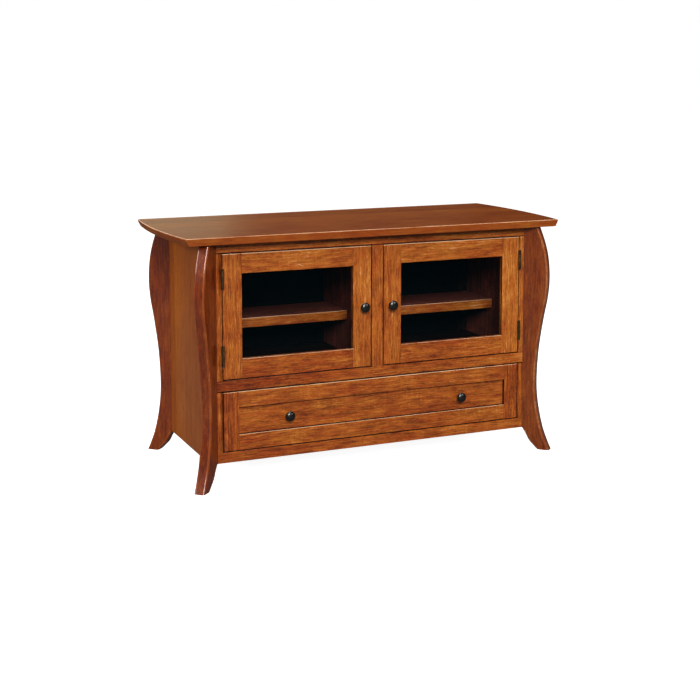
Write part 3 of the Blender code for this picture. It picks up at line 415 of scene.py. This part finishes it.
def catch_plastic():
    """Brown ABS, moulded, with a spark-eroded grain that keeps it dull.

    The grain is drawn 0.7 mm wide, coarser than the real one, so that it shows.
    """
    material, tree, shader = new_material("brown_abs")
    place = add(tree, "TexCoord").outputs["Object"]
    grain = add(tree, "TexNoise", {"Vector": place, "Scale": 1400.0, "Detail": 2.0})
    colour = add(tree, "ValToRGB", {"Fac": grain.outputs["Fac"]}, [
        (0.3, linear("#3A2A20")), (0.7, linear("#4A372B")),
    ])
    tree.links.new(colour.outputs["Color"], shader.inputs["Base Color"])
    gloss = add(tree, "MapRange", {"Value": grain.outputs["Fac"], "To Min": 0.42, "To Max": 0.6})
    tree.links.new(gloss.outputs[0], shader.inputs["Roughness"])
    bump = add(tree, "Bump", {"Strength": 0.3, "Distance": 0.0001, "Height": grain.outputs["Fac"]})
    tree.links.new(bump.outputs[0], shader.inputs["Normal"])
    return material


def door_glass():
    """Float glass, 3 mm: clear, with a faint reflection and a cool film over the dark inside.

    Its index is lower than real glass has, which keeps the reflection as weak as it is seen.
    """
    material, tree, shader = new_material(
        "float_glass", Base_Color=linear("#0A232A"), Roughness=0.03, IOR=1.2,
    )
    place = add(tree, "TexCoord").outputs["Object"]
    haze = add(tree, "TexNoise", {"Vector": place, "Scale": 6.0, "Detail": 2.0})
    film = add(tree, "MapRange", {"Value": haze.outputs["Fac"], "To Min": 0.04, "To Max": 0.07})
    tree.links.new(film.outputs[0], shader.inputs["Alpha"])
    return material


def studio_floor():
    """A white floor, lit from within for the camera, and dimly for what mirrors it."""
    material, tree, shader = new_material("studio_floor", Roughness=0.9)
    rays = add(tree, "LightPath")
    seen = rays.outputs["Is Camera Ray"]
    colour = add(tree, "Mix", {"Factor": seen, 6: grey(FLOOR_BOUNCE), 7: grey(FLOOR_SEEN)},
                 data_type="RGBA")
    tree.links.new(colour.outputs[2], shader.inputs["Base Color"])
    mirrored = add(tree, "Math", {0: rays.outputs["Is Glossy Ray"], 1: FLOOR_SHEEN},
                   operation="MULTIPLY").outputs[0]
    glow = add(tree, "Math", {0: seen, 1: FLOOR_GLOW, 2: mirrored}, operation="MULTIPLY_ADD").outputs[0]
    shader.inputs["Emission Color"].default_value = grey(1.0)
    tree.links.new(glow, shader.inputs["Emission Strength"])
    return material


# Finishes. Shades are sRGB, from the darkest streaks and the painted shade of gaps and narrow edges
# to the palest, which shows as painted highlight on lit arrises. WALL is red cherry darkened into
# painted shade, which shows dimly behind the glass, and INSIDE the deeper painted shade of the deck
# and of the stiles' inner faces.
FRONT = stained_wood(
    "cherry_front", ("#2C0A03", "#6A260A", "#933D12", "#AD4E19", "#C56728", "#E0AE8A"),
    ("#2C1004", "#68310C", "#914C16", "#B2631E", "#CD7D2F", "#E4B98E"),
)
LEG = stained_wood(
    "cherry_leg", ("#1C0802", "#4B1703", "#6B2406", "#7F3009", "#944012", "#B87850"),
    ("#1E0B02", "#501F05", "#71300A", "#86400F", "#9C4F18", "#BE8456"),
    contrast=0.75, coat=1.0, coat_roughness=0.10,
)
PANEL = stained_wood(
    "cherry_side_panel", ("#2A0F04", "#6E300C", "#984A14", "#B25C1C", "#C8742A", "#DC9450"),
    ("#2C1508", "#723A10", "#9C5319", "#B56722", "#CA7D31", "#DF9E5A"),
    stave=0.105, contrast=0.38, specular=0.25, coat=0.25, coat_roughness=0.2,
)
# TOP's shades are darker than FRONT's, partly as painted shade for the lesser light on the top face
TOP = stained_wood(
    "cherry_top", ("#1E0A04", "#57220A", "#7C3510", "#914216", "#A75420", "#E0AE8A"),
    ("#200D05", "#5F2D0C", "#874616", "#9C571B", "#B26C25", "#E4B98E"),
    stave=0.118, contrast=0.4, roughness=0.46, specular=0.1, coat=0.2, coat_roughness=0.32,
)
# Cherry darkened into painted shade for the inside behind the glass, INSIDE the deeper one
INSIDE = stained_wood(
    "dark_stained_cherry", ("#070707", "#0D0807", "#160A08", "#1E0D0A", "#26110C", "#2C160F"),
    ("#070807", "#0D0A08", "#160C09", "#1E100B", "#26150D", "#2C1A11"),
    roughness=0.7, specular=0.1, coat=0.0,
)
WALL = stained_wood(
    "cherry_in_dim_painted_shade", ("#2C2824", "#3E2A25", "#582F27", "#6E372C", "#854132", "#964C39"),
    ("#2C2924", "#402D25", "#5A3329", "#703B2E", "#874535", "#984F3B"),
    roughness=0.7, specular=0.1, coat=0.0,
)
BACK = stained_wood(
    "stained_plywood", ("#2A1006", "#5F2C12", "#80431E", "#955129", "#A66333", "#BC7F48"),
    ("#2C1408", "#673A18", "#8B5325", "#A06432", "#B2743B", "#C68D51"),
    ring=0.018, roughness=0.5,
)
MAPLE = stained_wood(
    "clear_maple", ("#8F6A42", "#B58B5C", "#C9A06F", "#D7B281", "#E1C093", "#EACBA4"),
    ("#94704A", "#BA9360", "#CFA976", "#DDBB88", "#E7C999", "#EED5AC"),
    stave=0.09, contrast=0.6, roughness=0.42,
)
BLACK = stained_wood(
    "black_painted_plywood", ("#030404", "#040505", "#050606", "#060707", "#070808", "#090A0A"),
    ("#030404", "#040505", "#050606", "#060707", "#070808", "#090A0A"),
    roughness=0.7, specular=0.1, coat=0.0,
)
SHADE_LINE_FINISH = painted_corner_shade()
BRONZE = aged_metal("oil_rubbed_bronze", ("#232C2A", "#2E2C27", "#4C3A2B"), 0.26, 0.40, 1.0)
ANTIQUE_BRASS = aged_metal("antique_brass", ("#3C3424", "#54462F", "#75603F"), 0.34, 0.55, 0.0)
ZINC = zinc()
ABS = catch_plastic()
GLASS = door_glass()

FACES = {"left": (0, 0), "right": (0, 1), "front": (1, 0), "back": (1, 1), "bottom": (2, 0), "top": (2, 1)}


def on_edge(edge, pair, box):
    """Whether an edge lies where two named faces of a box meet."""
    return all(
        abs(vert.co[axis] - box[end][axis]) < PLANE_TOLERANCE
        for axis, end in (FACES[face] for face in pair)
        for vert in edge.verts
    )


def ease(solid, edges, radius, steps, painted_light):
    """Rounds some edges of a bmesh, and marks the rounded faces with so much painted light."""
    made = bmesh.ops.bevel(
        solid, geom=edges, offset=radius, offset_type="OFFSET", segments=steps, profile=0.5,
        affect="EDGES", clamp_overlap=False,
    )
    layer = solid.faces.layers.float["painted_light"]
    for face in made["faces"]:
        face[layer] = painted_light


def mark_board(solid, grain, tone, seed, turn=None):
    """Stores where each corner lies in the plank that the board was sawn from, and the board's tone.

    A pair of tones runs from the board's lower end along its grain to its higher end.
    """
    draw = random.Random(seed)
    start = draw.uniform(0, 9)
    off_pith = draw.uniform(-0.05, 0.05)
    depth = draw.uniform(0.012, 0.06)
    places = solid.verts.layers.float_vector.new("board")
    tones = solid.verts.layers.float.new("tone")
    axes = ["xyz".index(letter) for letter in grain]
    points = [turn @ vert.co if turn else vert.co for vert in solid.verts]
    lows = [min(point[axis] for point in points) for axis in axes]
    highs = [max(point[axis] for point in points) for axis in axes]
    first, last = tone if isinstance(tone, tuple) else (tone, tone)
    for vert, point in zip(solid.verts, points):
        along, across, through = (
            point[axis] - (low + high) / 2 for axis, low, high in zip(axes, lows, highs)
        )
        vert[places] = (along + start, across + off_pith, through + depth)
        vert[tones] = first + (last - first) * (along / (highs[0] - lows[0]) + 0.5)


def finish_piece(name, solid, materials, body, nodes=(), sharp=50):
    """Turns a bmesh into a piece that rides on a body and stands for some CAD nodes."""
    mesh = bpy.data.meshes.new(name)
    bmesh.ops.recalc_face_normals(solid, faces=solid.faces)
    solid.to_mesh(mesh)
    solid.free()
    for material in materials:
        mesh.materials.append(material)
    mesh.shade_smooth()
    mesh.set_sharp_from_angle(angle=math.radians(sharp))
    made = bpy.data.objects.new(name, mesh)
    bpy.context.scene.collection.objects.link(made)
    normals = made.modifiers.new("flat_faces", "WEIGHTED_NORMAL")
    normals.keep_sharp = True
    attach(made, body)
    if nodes:
        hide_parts(*nodes)
    return made


def new_solid():
    """An empty bmesh whose faces can be marked with painted light."""
    solid = bmesh.new()
    solid.faces.layers.float.new("painted_light")
    return solid


def packed_solid(node):
    """A node's shape as packed, with its flat faces whole again."""
    solid = new_solid()
    solid.from_mesh(frame["nodes"][node].data)
    bmesh.ops.remove_doubles(solid, verts=solid.verts, dist=MERGE_DISTANCE)
    bmesh.ops.dissolve_limit(solid, angle_limit=FLAT_ANGLE, verts=solid.verts, edges=solid.edges)
    return solid


def board(node, finish, grain, arrises=None, joints=(), fine=BOARD_ARRIS, second=None, rule=None,
          narrow_edges=False):
    """A board with eased edges that stands for a node.

    Arrises gives a radius to pairs of faces, fine is the radius of the other outer edges, and the
    edges of joint faces stay sharp. Faces that the rule picks get the second finish.
    """
    solid = packed_solid(node)
    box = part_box(node)
    arrises = arrises or {}
    for pair, radius in arrises.items():
        edges = [edge for edge in solid.edges if on_edge(edge, pair, box)]
        # An upper front arris gets painted highlight, and every other arris painted shade
        arris_painted_light = LIT_ARRIS_PAINTED_HIGHLIGHT if pair == ("front", "top") else OTHER_ARRIS_PAINTED_SHADE
        if edges:
            ease(solid, edges, radius, ARRIS_STEPS, arris_painted_light)
    names = [face for face in FACES if face not in joints]
    pairs = [(a, b) for a in names for b in names if FACES[a][0] < FACES[b][0]]
    pairs = [pair for pair in pairs if pair not in arrises and pair[::-1] not in arrises]
    edges = [edge for edge in solid.edges if any(on_edge(edge, pair, box) for pair in pairs)]
    # The other outer edges get painted shade
    if edges and fine:
        ease(solid, edges, fine, FINE_ARRIS_STEPS, NARROW_EDGE_PAINTED_SHADE)
    painted_light = solid.faces.layers.float["painted_light"]
    # The narrow edges of frame members, which face the gaps, get painted shade
    for face in solid.faces:
        if narrow_edges and abs(face.normal.y) < 0.5 and not face[painted_light]:
            face[painted_light] = NARROW_EDGE_PAINTED_SHADE
    mark_board(solid, grain, TONES.get(node, 0.0), node)
    if rule:
        for face in solid.faces:
            face.material_index = int(rule(face.calc_center_median(), face.normal))
    finishes = [finish] + ([second] if second else [])
    return finish_piece(f"{node}_board", solid, finishes, BODY_OF[node], [node])


def metal_piece(node, finish):
    """A node's shape as packed, with its round faces shaded smooth."""
    solid = packed_solid(node)
    return finish_piece(f"{node}_metal", solid, [finish], BODY_OF[node], [node], sharp=40)


def through_points(points, steps):
    """A smooth line through the points."""
    line = [points[0]]
    padded = [points[0], *points, points[-1]]
    for i in range(len(points) - 1):
        around = padded[i:i + 4]
        for step in range(1, steps + 1):
            t = step / steps
            weights = (
                -t + 2 * t**2 - t**3,
                2 - 5 * t**2 + 3 * t**3,
                t + 4 * t**2 - 3 * t**3,
                -(t**2) + t**3,
            )
            line.append(tuple(sum(w * p[k] for w, p in zip(weights, around)) / 2 for k in (0, 1)))
    return line


def make_top():
    """The top board: straight front and back, bowed ends that lean in below their upright edge."""
    solid = new_solid()
    thickness = TOP_HIGH.z - TOP_LOW.z
    corner = TOP_HIGH.x - TOP_BOW

    def outline(end_inset, edge_inset):
        front, back = TOP_LOW.y + edge_inset, TOP_HIGH.y - edge_inset
        points = []
        for side, sense in ((1, 1), (-1, -1)):
            for step in range(TOP_END_STEPS + 1):
                across = sense * (2 * step / TOP_END_STEPS - 1)
                x = side * (corner - end_inset + TOP_BOW * (1 - across**2))
                points.append((x, (front + back) / 2 + across * (back - front) / 2))
        return points

    small = TOP_LOWER_ARRIS
    slope_end = thickness - TOP_UPRIGHT_EDGE
    cut = small * TOP_LOWER_ARRIS_SHARE
    # Each level has its height, and how far the ends and the long edges stand in
    levels = [
        (0, TOP_UNDERCUT + small, small),
        (cut, TOP_UNDERCUT + cut, cut),
        (small, TOP_UNDERCUT * (1 - small / slope_end), 0),
        (slope_end - small, TOP_UNDERCUT * small / slope_end, 0),
        (slope_end, small * TOP_BREAK_SHARE, 0),
        (slope_end + small, 0, 0),
    ]
    for step in range(TOP_ARRIS_STEPS + 1):
        turn = math.radians(90) * step / TOP_ARRIS_STEPS
        inset = TOP_ARRIS * (1 - math.cos(turn))
        levels.append((thickness - TOP_ARRIS * (1 - math.sin(turn)), inset, inset))
    rings = [
        [solid.verts.new((x, y, TOP_LOW.z + z)) for x, y in outline(end, edge)]
        for z, end, edge in levels
    ]
    painted_light = solid.faces.layers.float["painted_light"]
    arris_start = len(levels) - TOP_ARRIS_STEPS - 1
    for level, (lower, upper) in enumerate(zip(rings, rings[1:])):
        for i in range(len(lower)):
            j = (i + 1) % len(lower)
            face = solid.faces.new((lower[i], lower[j], upper[j], upper[i]))
            # The upper arris gets painted highlight, and the sides below it painted light, paler than the top
            # face
            face[painted_light] = LIT_ARRIS_PAINTED_HIGHLIGHT if level >= arris_start else TOP_SIDE_PAINTED_LIGHT
    solid.faces.new(rings[0])
    solid.faces.new(rings[-1])
    mark_board(solid, "xyz", 0.0, "top")
    return finish_piece("top_board", solid, [TOP], "case", ["top_panel"], sharp=40)


def leg_solid():
    """A leg in its own plane: x is the reach out from its seat, z the height."""
    outer = [(LEG_REACH * reach, CASE_TOP * height) for height, reach in LEG_OUTER_SHARES]
    toe = LEG_REACH - LEG_SOLE_WIDTH
    arch = [
        (max(toe * reach, LEG_SEAT_GAP), CASE_LOW * height)
        for height, reach in reversed(LEG_ARCH_SHARES)
    ]
    outer = through_points(outer, LEG_CURVE_STEPS)
    outline = outer + [(LEG_SEAT_GAP, CASE_TOP)] + through_points(arch, LEG_CURVE_STEPS)
    solid = new_solid()
    half = LEG_THICKNESS / 2
    sheets = [[solid.verts.new((x, y, z)) for x, z in outline] for y in (-half, half)]
    for i in range(len(outline)):
        j = (i + 1) % len(outline)
        solid.faces.new((sheets[0][i], sheets[0][j], sheets[1][j], sheets[1][i]))
    for sheet in sheets:
        solid.faces.new(sheet)
    bmesh.ops.recalc_face_normals(solid, faces=solid.faces)
    edges = [
        edge for edge in solid.edges
        if abs(edge.verts[0].co.y - edge.verts[1].co.y) < PLANE_TOLERANCE
        and min(vert.co.x for vert in edge.verts) > LEG_SEAT_GAP + PLANE_TOLERANCE
        and abs(edge.verts[0].co.z - edge.verts[1].co.z) > PLANE_TOLERANCE
    ]
    # The rounded edges get painted highlight
    ease(solid, edges, LEG_ARRIS, LEG_ARRIS_STEPS, LEG_ARRIS_PAINTED_HIGHLIGHT)
    # The foot's rounded edges end at the floor
    for vert in solid.verts:
        vert.co.z = max(vert.co.z, 0.0)
    return solid


def make_legs():
    seat_half = LEG_THICKNESS * math.sqrt(0.5) / 2
    for end, depth, turn in (("front", FACE + seat_half, -1), ("back", CASE_BACK - seat_half, 1)):
        for side_name, side in SIDES.items():
            name = f"leg_{end}_{side_name}"
            heading = turn * math.radians(45 if side > 0 else 135)
            place = Matrix.Translation((side * (CASE_HALF - seat_half), depth, 0))
            solid = leg_solid()
            mark_board(solid, "zxy", LEG_TONES[end, side_name], name)
            bmesh.ops.transform(solid, matrix=place @ Matrix.Rotation(heading, 4, "Z"), verts=solid.verts)
            finish_piece(f"{name}_board", solid, [LEG], "case", [name], sharp=35)


def inside_rule(node, case_face):
    """Picks a case board's faces that look into the compartments, and not the given outer face."""
    axis, end = FACES[case_face]
    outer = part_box(node)[end][axis]

    def rule(centre, normal):
        return abs(centre[axis] - outer) > BOARD_ARRIS * 2
    return rule


def make_case():
    make_top()
    make_legs()
    # Inner faces of the side panels and stiles, and the shelves behind their lit front edges, take the
    # painted shade of WALL and INSIDE
    for side in SIDES:
        board(f"side_panel_{side}", PANEL, "zyx", second=WALL, rule=inside_rule(f"side_panel_{side}", side))
        frame_board(f"front_stile_{side}", "zxy", joints=("front", side, "top"), second=INSIDE,
                    rule=lambda centre, normal: normal.y > 0.5)
        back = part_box(f"back_stile_{side}")[1].y
        board(f"back_stile_{side}", LEG, "zxy", fine=FINE_ARRIS, joints=("back", side), second=INSIDE,
              rule=lambda centre, normal: normal.y < 0.5 and centre.y < back - FINE_ARRIS)
        lip = {("front", "top"): SHELF_ARRIS, ("front", "bottom"): SHELF_ARRIS}
        board(f"shelf_{side}", FRONT, "xyz", lip, second=WALL, rule=shelf_rule(f"shelf_{side}"))
    for rail in ("top", "middle", "bottom"):
        arrises = {} if rail == "bottom" else {("front", "bottom"): RAIL_ARRIS}
        frame_board(f"front_{rail}_rail", "xzy", arrises, joints=("left", "right"))
    frame_board("front_centre_stile", "zxy", joints=("top", "bottom"))
    # The partition and the middle deck are in the painted shade of WALL and INSIDE
    board("centre_partition", WALL, "zyx")
    board("middle_deck", INSIDE, "xyz")
    board("bottom_deck", FRONT, "xyz")
    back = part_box("back_panel")[1].y
    board("back_panel", BACK, "xzy", second=BLACK,
          rule=lambda centre, normal: centre.y < back - BOARD_ARRIS)


def shelf_rule(node):
    """Picks a shelf's faces behind its lit front edge."""
    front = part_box(node)[0].y

    def rule(centre, normal):
        return centre.y > front + SHELF_ARRIS * 2
    return rule


def frame_board(node, grain, arrises=None, joints=(), **more):
    """A member of the face frame, a door or the drawer front, with painted shade on its narrow edges."""
    board(node, FRONT, grain, arrises, joints, FINE_ARRIS, narrow_edges=True, **more)


def make_doors():
    ends = ("left", "right")
    rim = {("front", "top"): DOOR_ARRIS, ("front", "bottom"): DOOR_ARRIS}
    for side in SIDES:
        door = f"{side}_door"
        frame_board(f"{door}_latch_stile", "zxy", {**rim, ("front", OTHER[side]): DOOR_ARRIS})
        frame_board(f"{door}_hinge_stile", "zxy", {**rim, ("front", side): DOOR_ARRIS})
        frame_board(f"{door}_top_rail", "xzy",
                    {("front", "top"): DOOR_ARRIS, ("front", "bottom"): OPENING_ARRIS}, ends)
        frame_board(f"{door}_bottom_rail", "xzy",
                    {("front", "bottom"): DOOR_ARRIS, ("front", "top"): OPENING_ARRIS}, ends)
        glass = packed_solid(f"{door}_glass")
        finish_piece(f"{door}_pane", glass, [GLASS], door, [f"{door}_glass"])


def make_drawer():
    ends = ("left", "right")
    rim = {("front", "top"): DRAWER_ARRIS, ("front", "bottom"): DRAWER_ARRIS}
    for side in SIDES:
        frame_board(f"drawer_front_stile_{side}", "zxy", {**rim, ("front", side): DRAWER_ARRIS})
        board(f"drawer_side_{side}", MAPLE, "yzx")
    frame_board("drawer_front_top_rail", "xzy",
                {("front", "top"): DRAWER_ARRIS, ("front", "bottom"): OPENING_ARRIS}, ends)
    frame_board("drawer_front_bottom_rail", "xzy",
                {("front", "bottom"): DRAWER_ARRIS, ("front", "top"): OPENING_ARRIS}, ends)
    board("drawer_front_panel", FRONT, "xzy", fine=None)
    make_painted_shade_lines()
    board("drawer_back", MAPLE, "xzy")
    board("drawer_bottom", MAPLE, "xyz", fine=None)


def make_painted_shade_lines():
    """Lines of painted shade in the corners where the drawer's panel goes into its frame."""
    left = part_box("drawer_front_stile_left")[1].x
    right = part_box("drawer_front_stile_right")[0].x
    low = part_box("drawer_front_bottom_rail")[1].z
    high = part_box("drawer_front_top_rail")[0].z
    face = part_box("drawer_front_panel")[0].y
    wide, proud = SHADE_LINE_SIZE
    lines = {
        "top": ((left, high - wide), (right, high)),
        "bottom": ((left, low), (right, low + wide)),
        "left": ((left, low), (left + wide, high)),
        "right": ((right - wide, low), (right, high)),
    }
    for place, (start, end) in lines.items():
        small_plate(f"drawer_panel_{place}_glaze", (start[0], face - proud, start[1]), (end[0], face, end[1]),
                    proud / 3, SHADE_LINE_FINISH, "drawer")


def turned(profile, sides, placement):
    """A body turned about its Z axis from (radius, height) points that start and end at radius 0."""
    solid = new_solid()
    rings = []
    for radius, height in profile:
        turns = [2 * math.pi * i / sides for i in range(sides)] if radius else [0.0]
        points = [Vector((radius * math.cos(t), radius * math.sin(t), height)) for t in turns]
        rings.append([solid.verts.new(placement @ point) for point in points])
    for lower, upper in zip(rings, rings[1:]):
        for i in range(sides):
            j = (i + 1) % sides
            corners = [ring[k % len(ring)] for ring, k in ((lower, i), (lower, j), (upper, j), (upper, i))]
            solid.faces.new(list(dict.fromkeys(corners)))
    return solid


def aimed(place, direction):
    """A placement at a point, with its Z axis along a direction."""
    return Matrix.Translation(place) @ Vector(direction).to_track_quat("Z", "Y").to_matrix().to_4x4()


def make_knob(node):
    """A cast knob: a foot flange, a waisted neck and a round head with a soft rim."""
    low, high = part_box(node)
    head = (high.x - low.x) / 2
    reach = high.y - low.y
    foot, neck = head * KNOB_FOOT_SHARE, head * KNOB_NECK_SHARE
    head_base = reach * KNOB_HEAD_BASE_SHARE
    rim = head_base + (reach - head_base) * KNOB_RIM_SHARE
    points = [(foot * wide, reach * out) for wide, out in KNOB_FOOT_SHARES]
    points += [(neck * wide, reach * out) for wide, out in KNOB_NECK_SHARES]
    points += [(head * wide, head_base + (rim - head_base) * out) for wide, out in KNOB_HEAD_SHARES]
    for step in range(KNOB_CROWN_STEPS):
        turn = math.radians(90) * step / KNOB_CROWN_STEPS
        points.append((head * math.cos(turn), rim + (reach - rim) * math.sin(turn)))
    centre = Vector(((low.x + high.x) / 2, high.y, (low.z + high.z) / 2))
    solid = turned([(0, 0), *points, (0, reach)], KNOB_SIDES, aimed(centre, (0, -1, 0)))
    finish_piece(f"{node}_casting", solid, [BRONZE], BODY_OF[node], [node], sharp=60)


def screw_head(name, place, direction, diameter, rise, body, finish):
    """A low screw head with a cross recess."""
    radius = diameter / 2
    arm, half_width = radius * SCREW_CROSS_ARM_SHARE, radius * SCREW_CROSS_HALF_WIDTH_SHARE
    floor = rise * SCREW_CROSS_FLOOR_SHARE
    cross = []
    for turn in range(4):
        a = math.radians(90) * turn
        for x, y in ((arm, -half_width), (arm, half_width), (half_width, half_width)):
            cross.append((x * math.cos(a) - y * math.sin(a), x * math.sin(a) + y * math.cos(a)))
    spin = [2 * math.pi * i / SCREW_SIDES for i in range(SCREW_SIDES)]
    circle = [(math.cos(t), math.sin(t)) for t in spin]
    solid = new_solid()
    rings = [
        [solid.verts.new((radius * share * x, radius * share * y, rise * up)) for x, y in circle]
        for share, up in SCREW_PROFILE_SHARES
    ]
    for lower, upper in zip(rings, rings[1:]):
        for i in range(SCREW_SIDES):
            j = (i + 1) % SCREW_SIDES
            solid.faces.new((lower[i], lower[j], upper[j], upper[i]))
    solid.faces.new(rings[0])
    lip = [solid.verts.new((x, y, rise)) for x, y in cross]
    bottom = [solid.verts.new((x, y, floor)) for x, y in cross]
    for i in range(len(cross)):
        j = (i + 1) % len(cross)
        solid.faces.new((lip[i], lip[j], bottom[j], bottom[i]))
    solid.faces.new(bottom)
    corners = rings[-1] + lip
    loops = [[vert.co.copy() for vert in rings[-1]], [vert.co.copy() for vert in lip]]
    for triangle in tessellate_polygon(loops):
        solid.faces.new([corners[i] for i in triangle])
    bmesh.ops.transform(solid, matrix=aimed(place, direction), verts=solid.verts)
    finish_piece(name, solid, [finish], body, sharp=30)


def small_plate(name, low, high, radius, finish, body):
    """A small flat plate or bar with rounded edges."""
    low, high = Vector(low), Vector(high)
    solid = new_solid()
    shape = Matrix.Translation((low + high) / 2) @ Matrix.Diagonal((*(high - low), 1.0))
    bmesh.ops.create_cube(solid, size=1.0, matrix=shape)
    ease(solid, list(solid.edges), radius, FINE_ARRIS_STEPS, 0.0)
    finish_piece(name, solid, [finish], body)


def make_hardware():
    for side_name, side in SIDES.items():
        door = f"{side_name}_door"
        for level in ("lower", "upper"):
            hinge = f"{side_name}_{level}_hinge"
            metal_piece(f"{hinge}_door_leaf", ANTIQUE_BRASS)
            metal_piece(f"{hinge}_frame_leaf", ANTIQUE_BRASS)
            make_hinge_screws(hinge, side, door)
        make_knob(f"{door}_knob")
        make_knob(f"drawer_knob_{side_name}")
        for member in ("channel", "middle", "drawer_rail"):
            metal_piece(f"slide_{side_name}_{member}", ZINC)
        make_catch(side_name, side)
        make_knob_screw(f"{door}_knob", f"{door}_latch_stile")
        make_knob_screw(f"drawer_knob_{side_name}", "drawer_front_panel")


def make_knob_screw(knob, carrier):
    """The head of the machine screw that holds a knob, on the back of the board that carries it."""
    low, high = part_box(knob)
    centre = (low + high) / 2
    place = (centre.x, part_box(carrier)[1].y, centre.z)
    screw_head(f"{knob}_screw", place, (0, 1, 0), KNOB_SCREW_DIAMETER, KNOB_SCREW_RISE, BODY_OF[knob],
               ZINC)


def make_hinge_screws(hinge, side, door):
    """Three countersunk screws in each leaf, on the faces that meet when the door is shut."""
    for leaf, body, facing in (("door_leaf", door, side), ("frame_leaf", "case", -side)):
        low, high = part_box(f"{hinge}_{leaf}")
        x = leaf_face_x(hinge, leaf, facing)
        for number, (share, inset) in enumerate(HINGE_SCREW_PLACES, 1):
            place = (x, high.y - inset, low.z + (high.z - low.z) * share)
            screw_head(f"{hinge}_{leaf}_screw_{number}", place, (facing, 0, 0), HINGE_SCREW_DIAMETER,
                       HINGE_SCREW_RISE, body, ANTIQUE_BRASS)


def leaf_face_x(hinge, leaf, facing):
    """Where a leaf's flat face lies, read from its corners behind the knuckles."""
    node = f"{hinge}_{leaf}"
    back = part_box(node)[1].y
    corners = [vert.co for vert in frame["nodes"][node].data.vertices]
    places = [corner.x for corner in corners if abs(corner.y - back) < PLANE_TOLERANCE]
    return max(places) if facing > 0 else min(places)


def make_catch(side_name, side):
    """The catch's moulded case with its two steel poles, and the plate on the door that they hold."""
    node = f"{side_name}_door_catch"
    low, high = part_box(node)
    solid = packed_solid(node)
    ease(solid, list(solid.edges), CATCH_ARRIS, ARRIS_STEPS, 0.0)
    finish_piece(f"{node}_case", solid, [ABS], "case", [node], sharp=40)
    centre = (low + high) / 2
    wide, thick, tall = CATCH_POLE
    for number, offset in enumerate((-CATCH_POLE_SPACING / 2, CATCH_POLE_SPACING / 2), 1):
        x = centre.x + offset
        start = (x - wide / 2, low.y - thick * CATCH_POLE_RISE_SHARE, centre.z - tall / 2)
        end = (x + wide / 2, low.y + thick, centre.z + tall / 2)
        small_plate(f"{node}_pole_{number}", start, end, PLATE_ARRIS, ZINC, "case")
    wide, thick, tall = STRIKE_PLATE
    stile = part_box(f"{side_name}_door_latch_stile")
    back = stile[1].y
    inner_edge = stile[0 if side > 0 else 1].x * side
    x = max(abs(centre.x), inner_edge + wide / 2) * side
    start = (x - wide / 2, back, centre.z - tall / 2)
    end = (x + wide / 2, back + thick * STRIKE_PLATE_RISE_SHARE, centre.z + tall / 2)
    small_plate(f"{side_name}_door_strike_plate", start, end, PLATE_ARRIS, ZINC, f"{side_name}_door")


def make_back_screws():
    """Screws that hold the plywood back along its upright edges, its foot and its head."""
    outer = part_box("back_panel")[1]
    x_far = outer.x - BACK_SCREW_EDGE
    places = [(x, z) for x in (-x_far, x_far) for z in BACK_SCREW_HEIGHTS]
    lowest, highest = BACK_SCREW_HEIGHTS[0], BACK_SCREW_HEIGHTS[-1]
    places += [(x, z) for z in (lowest, highest) for x in BACK_SCREW_OFFSETS]
    for number, (x, z) in enumerate(places, 1):
        screw_head(f"back_screw_{number}", (x, outer.y, z), (0, 1, 0), BACK_SCREW_DIAMETER,
                   BACK_SCREW_RISE, "case", ZINC)


def make_stage():
    """A plain white floor that reaches the horizon."""
    mesh = bpy.data.meshes.new("floor")
    square = ((-1, -1), (1, -1), (1, 1), (-1, 1))
    corners = [(x * FLOOR_HALF, y * FLOOR_HALF, -FLOOR_DROP) for x, y in square]
    mesh.from_pydata(corners, [], [(0, 1, 2, 3)])
    mesh.materials.append(studio_floor())
    floor = bpy.data.objects.new("floor", mesh)
    bpy.context.scene.collection.objects.link(floor)


def softbox(name, place, size, power, colour):
    """A rectangular lamp that faces the cabinet."""
    lamp = bpy.data.lights.new(name, "AREA")
    lamp.shape = "RECTANGLE"
    lamp.size, lamp.size_y = size
    lamp.energy = power
    lamp.color = colour
    made = bpy.data.objects.new(name, lamp)
    made.location = place
    made.rotation_euler = (Vector(LAMP_TARGET) - Vector(place)).to_track_quat("-Z", "Y").to_euler()
    bpy.context.scene.collection.objects.link(made)


def make_lights():
    """Softboxes in a room that is white to the camera and dim to everything else.

    The key is to the left of the camera, one is at each side, one overhead for the arrises, two
    low ones are far behind for the sheen on the top, and two are for the views from behind.
    """
    for name, place, size, power, colour in SOFTBOXES:
        softbox(name, place, size, power, colour)
    world = bpy.data.worlds.new("studio")
    world.use_nodes = True
    tree = world.node_tree
    rays = add(tree, "LightPath")
    room = add(tree, "Mix", {
        "Factor": rays.outputs["Is Glossy Ray"], 6: grey(ROOM_LIGHT), 7: grey(ROOM_MIRRORED),
    }, data_type="RGBA")
    colour = add(tree, "Mix", {"Factor": rays.outputs["Is Camera Ray"], 6: room.outputs[2], 7: grey(1.0)},
                 data_type="RGBA")
    tree.links.new(colour.outputs[2], tree.nodes["Background"].inputs["Color"])
    bpy.context.scene.world = world


def make_camera():
    """The photograph's view, from the left and a little above.

    The lens is shifted, which keeps the uprights nearly parallel.
    """
    data = bpy.data.cameras.new("camera")
    data.lens = CAMERA_LENS
    data.sensor_width = 36.0
    data.shift_y = CAMERA_SHIFT
    camera = bpy.data.objects.new("camera", data)
    camera.location = CAMERA_PLACE
    camera.rotation_euler = (math.radians(90) - CAMERA_PITCH, 0, -CAMERA_HEADING)
    bpy.context.scene.collection.objects.link(camera)
    bpy.context.scene.camera = camera


make_camera()
make_case()
make_doors()
make_drawer()
make_hardware()
make_back_screws()
make_stage()
make_lights()
bpy.context.scene.view_settings.view_transform = "Standard"
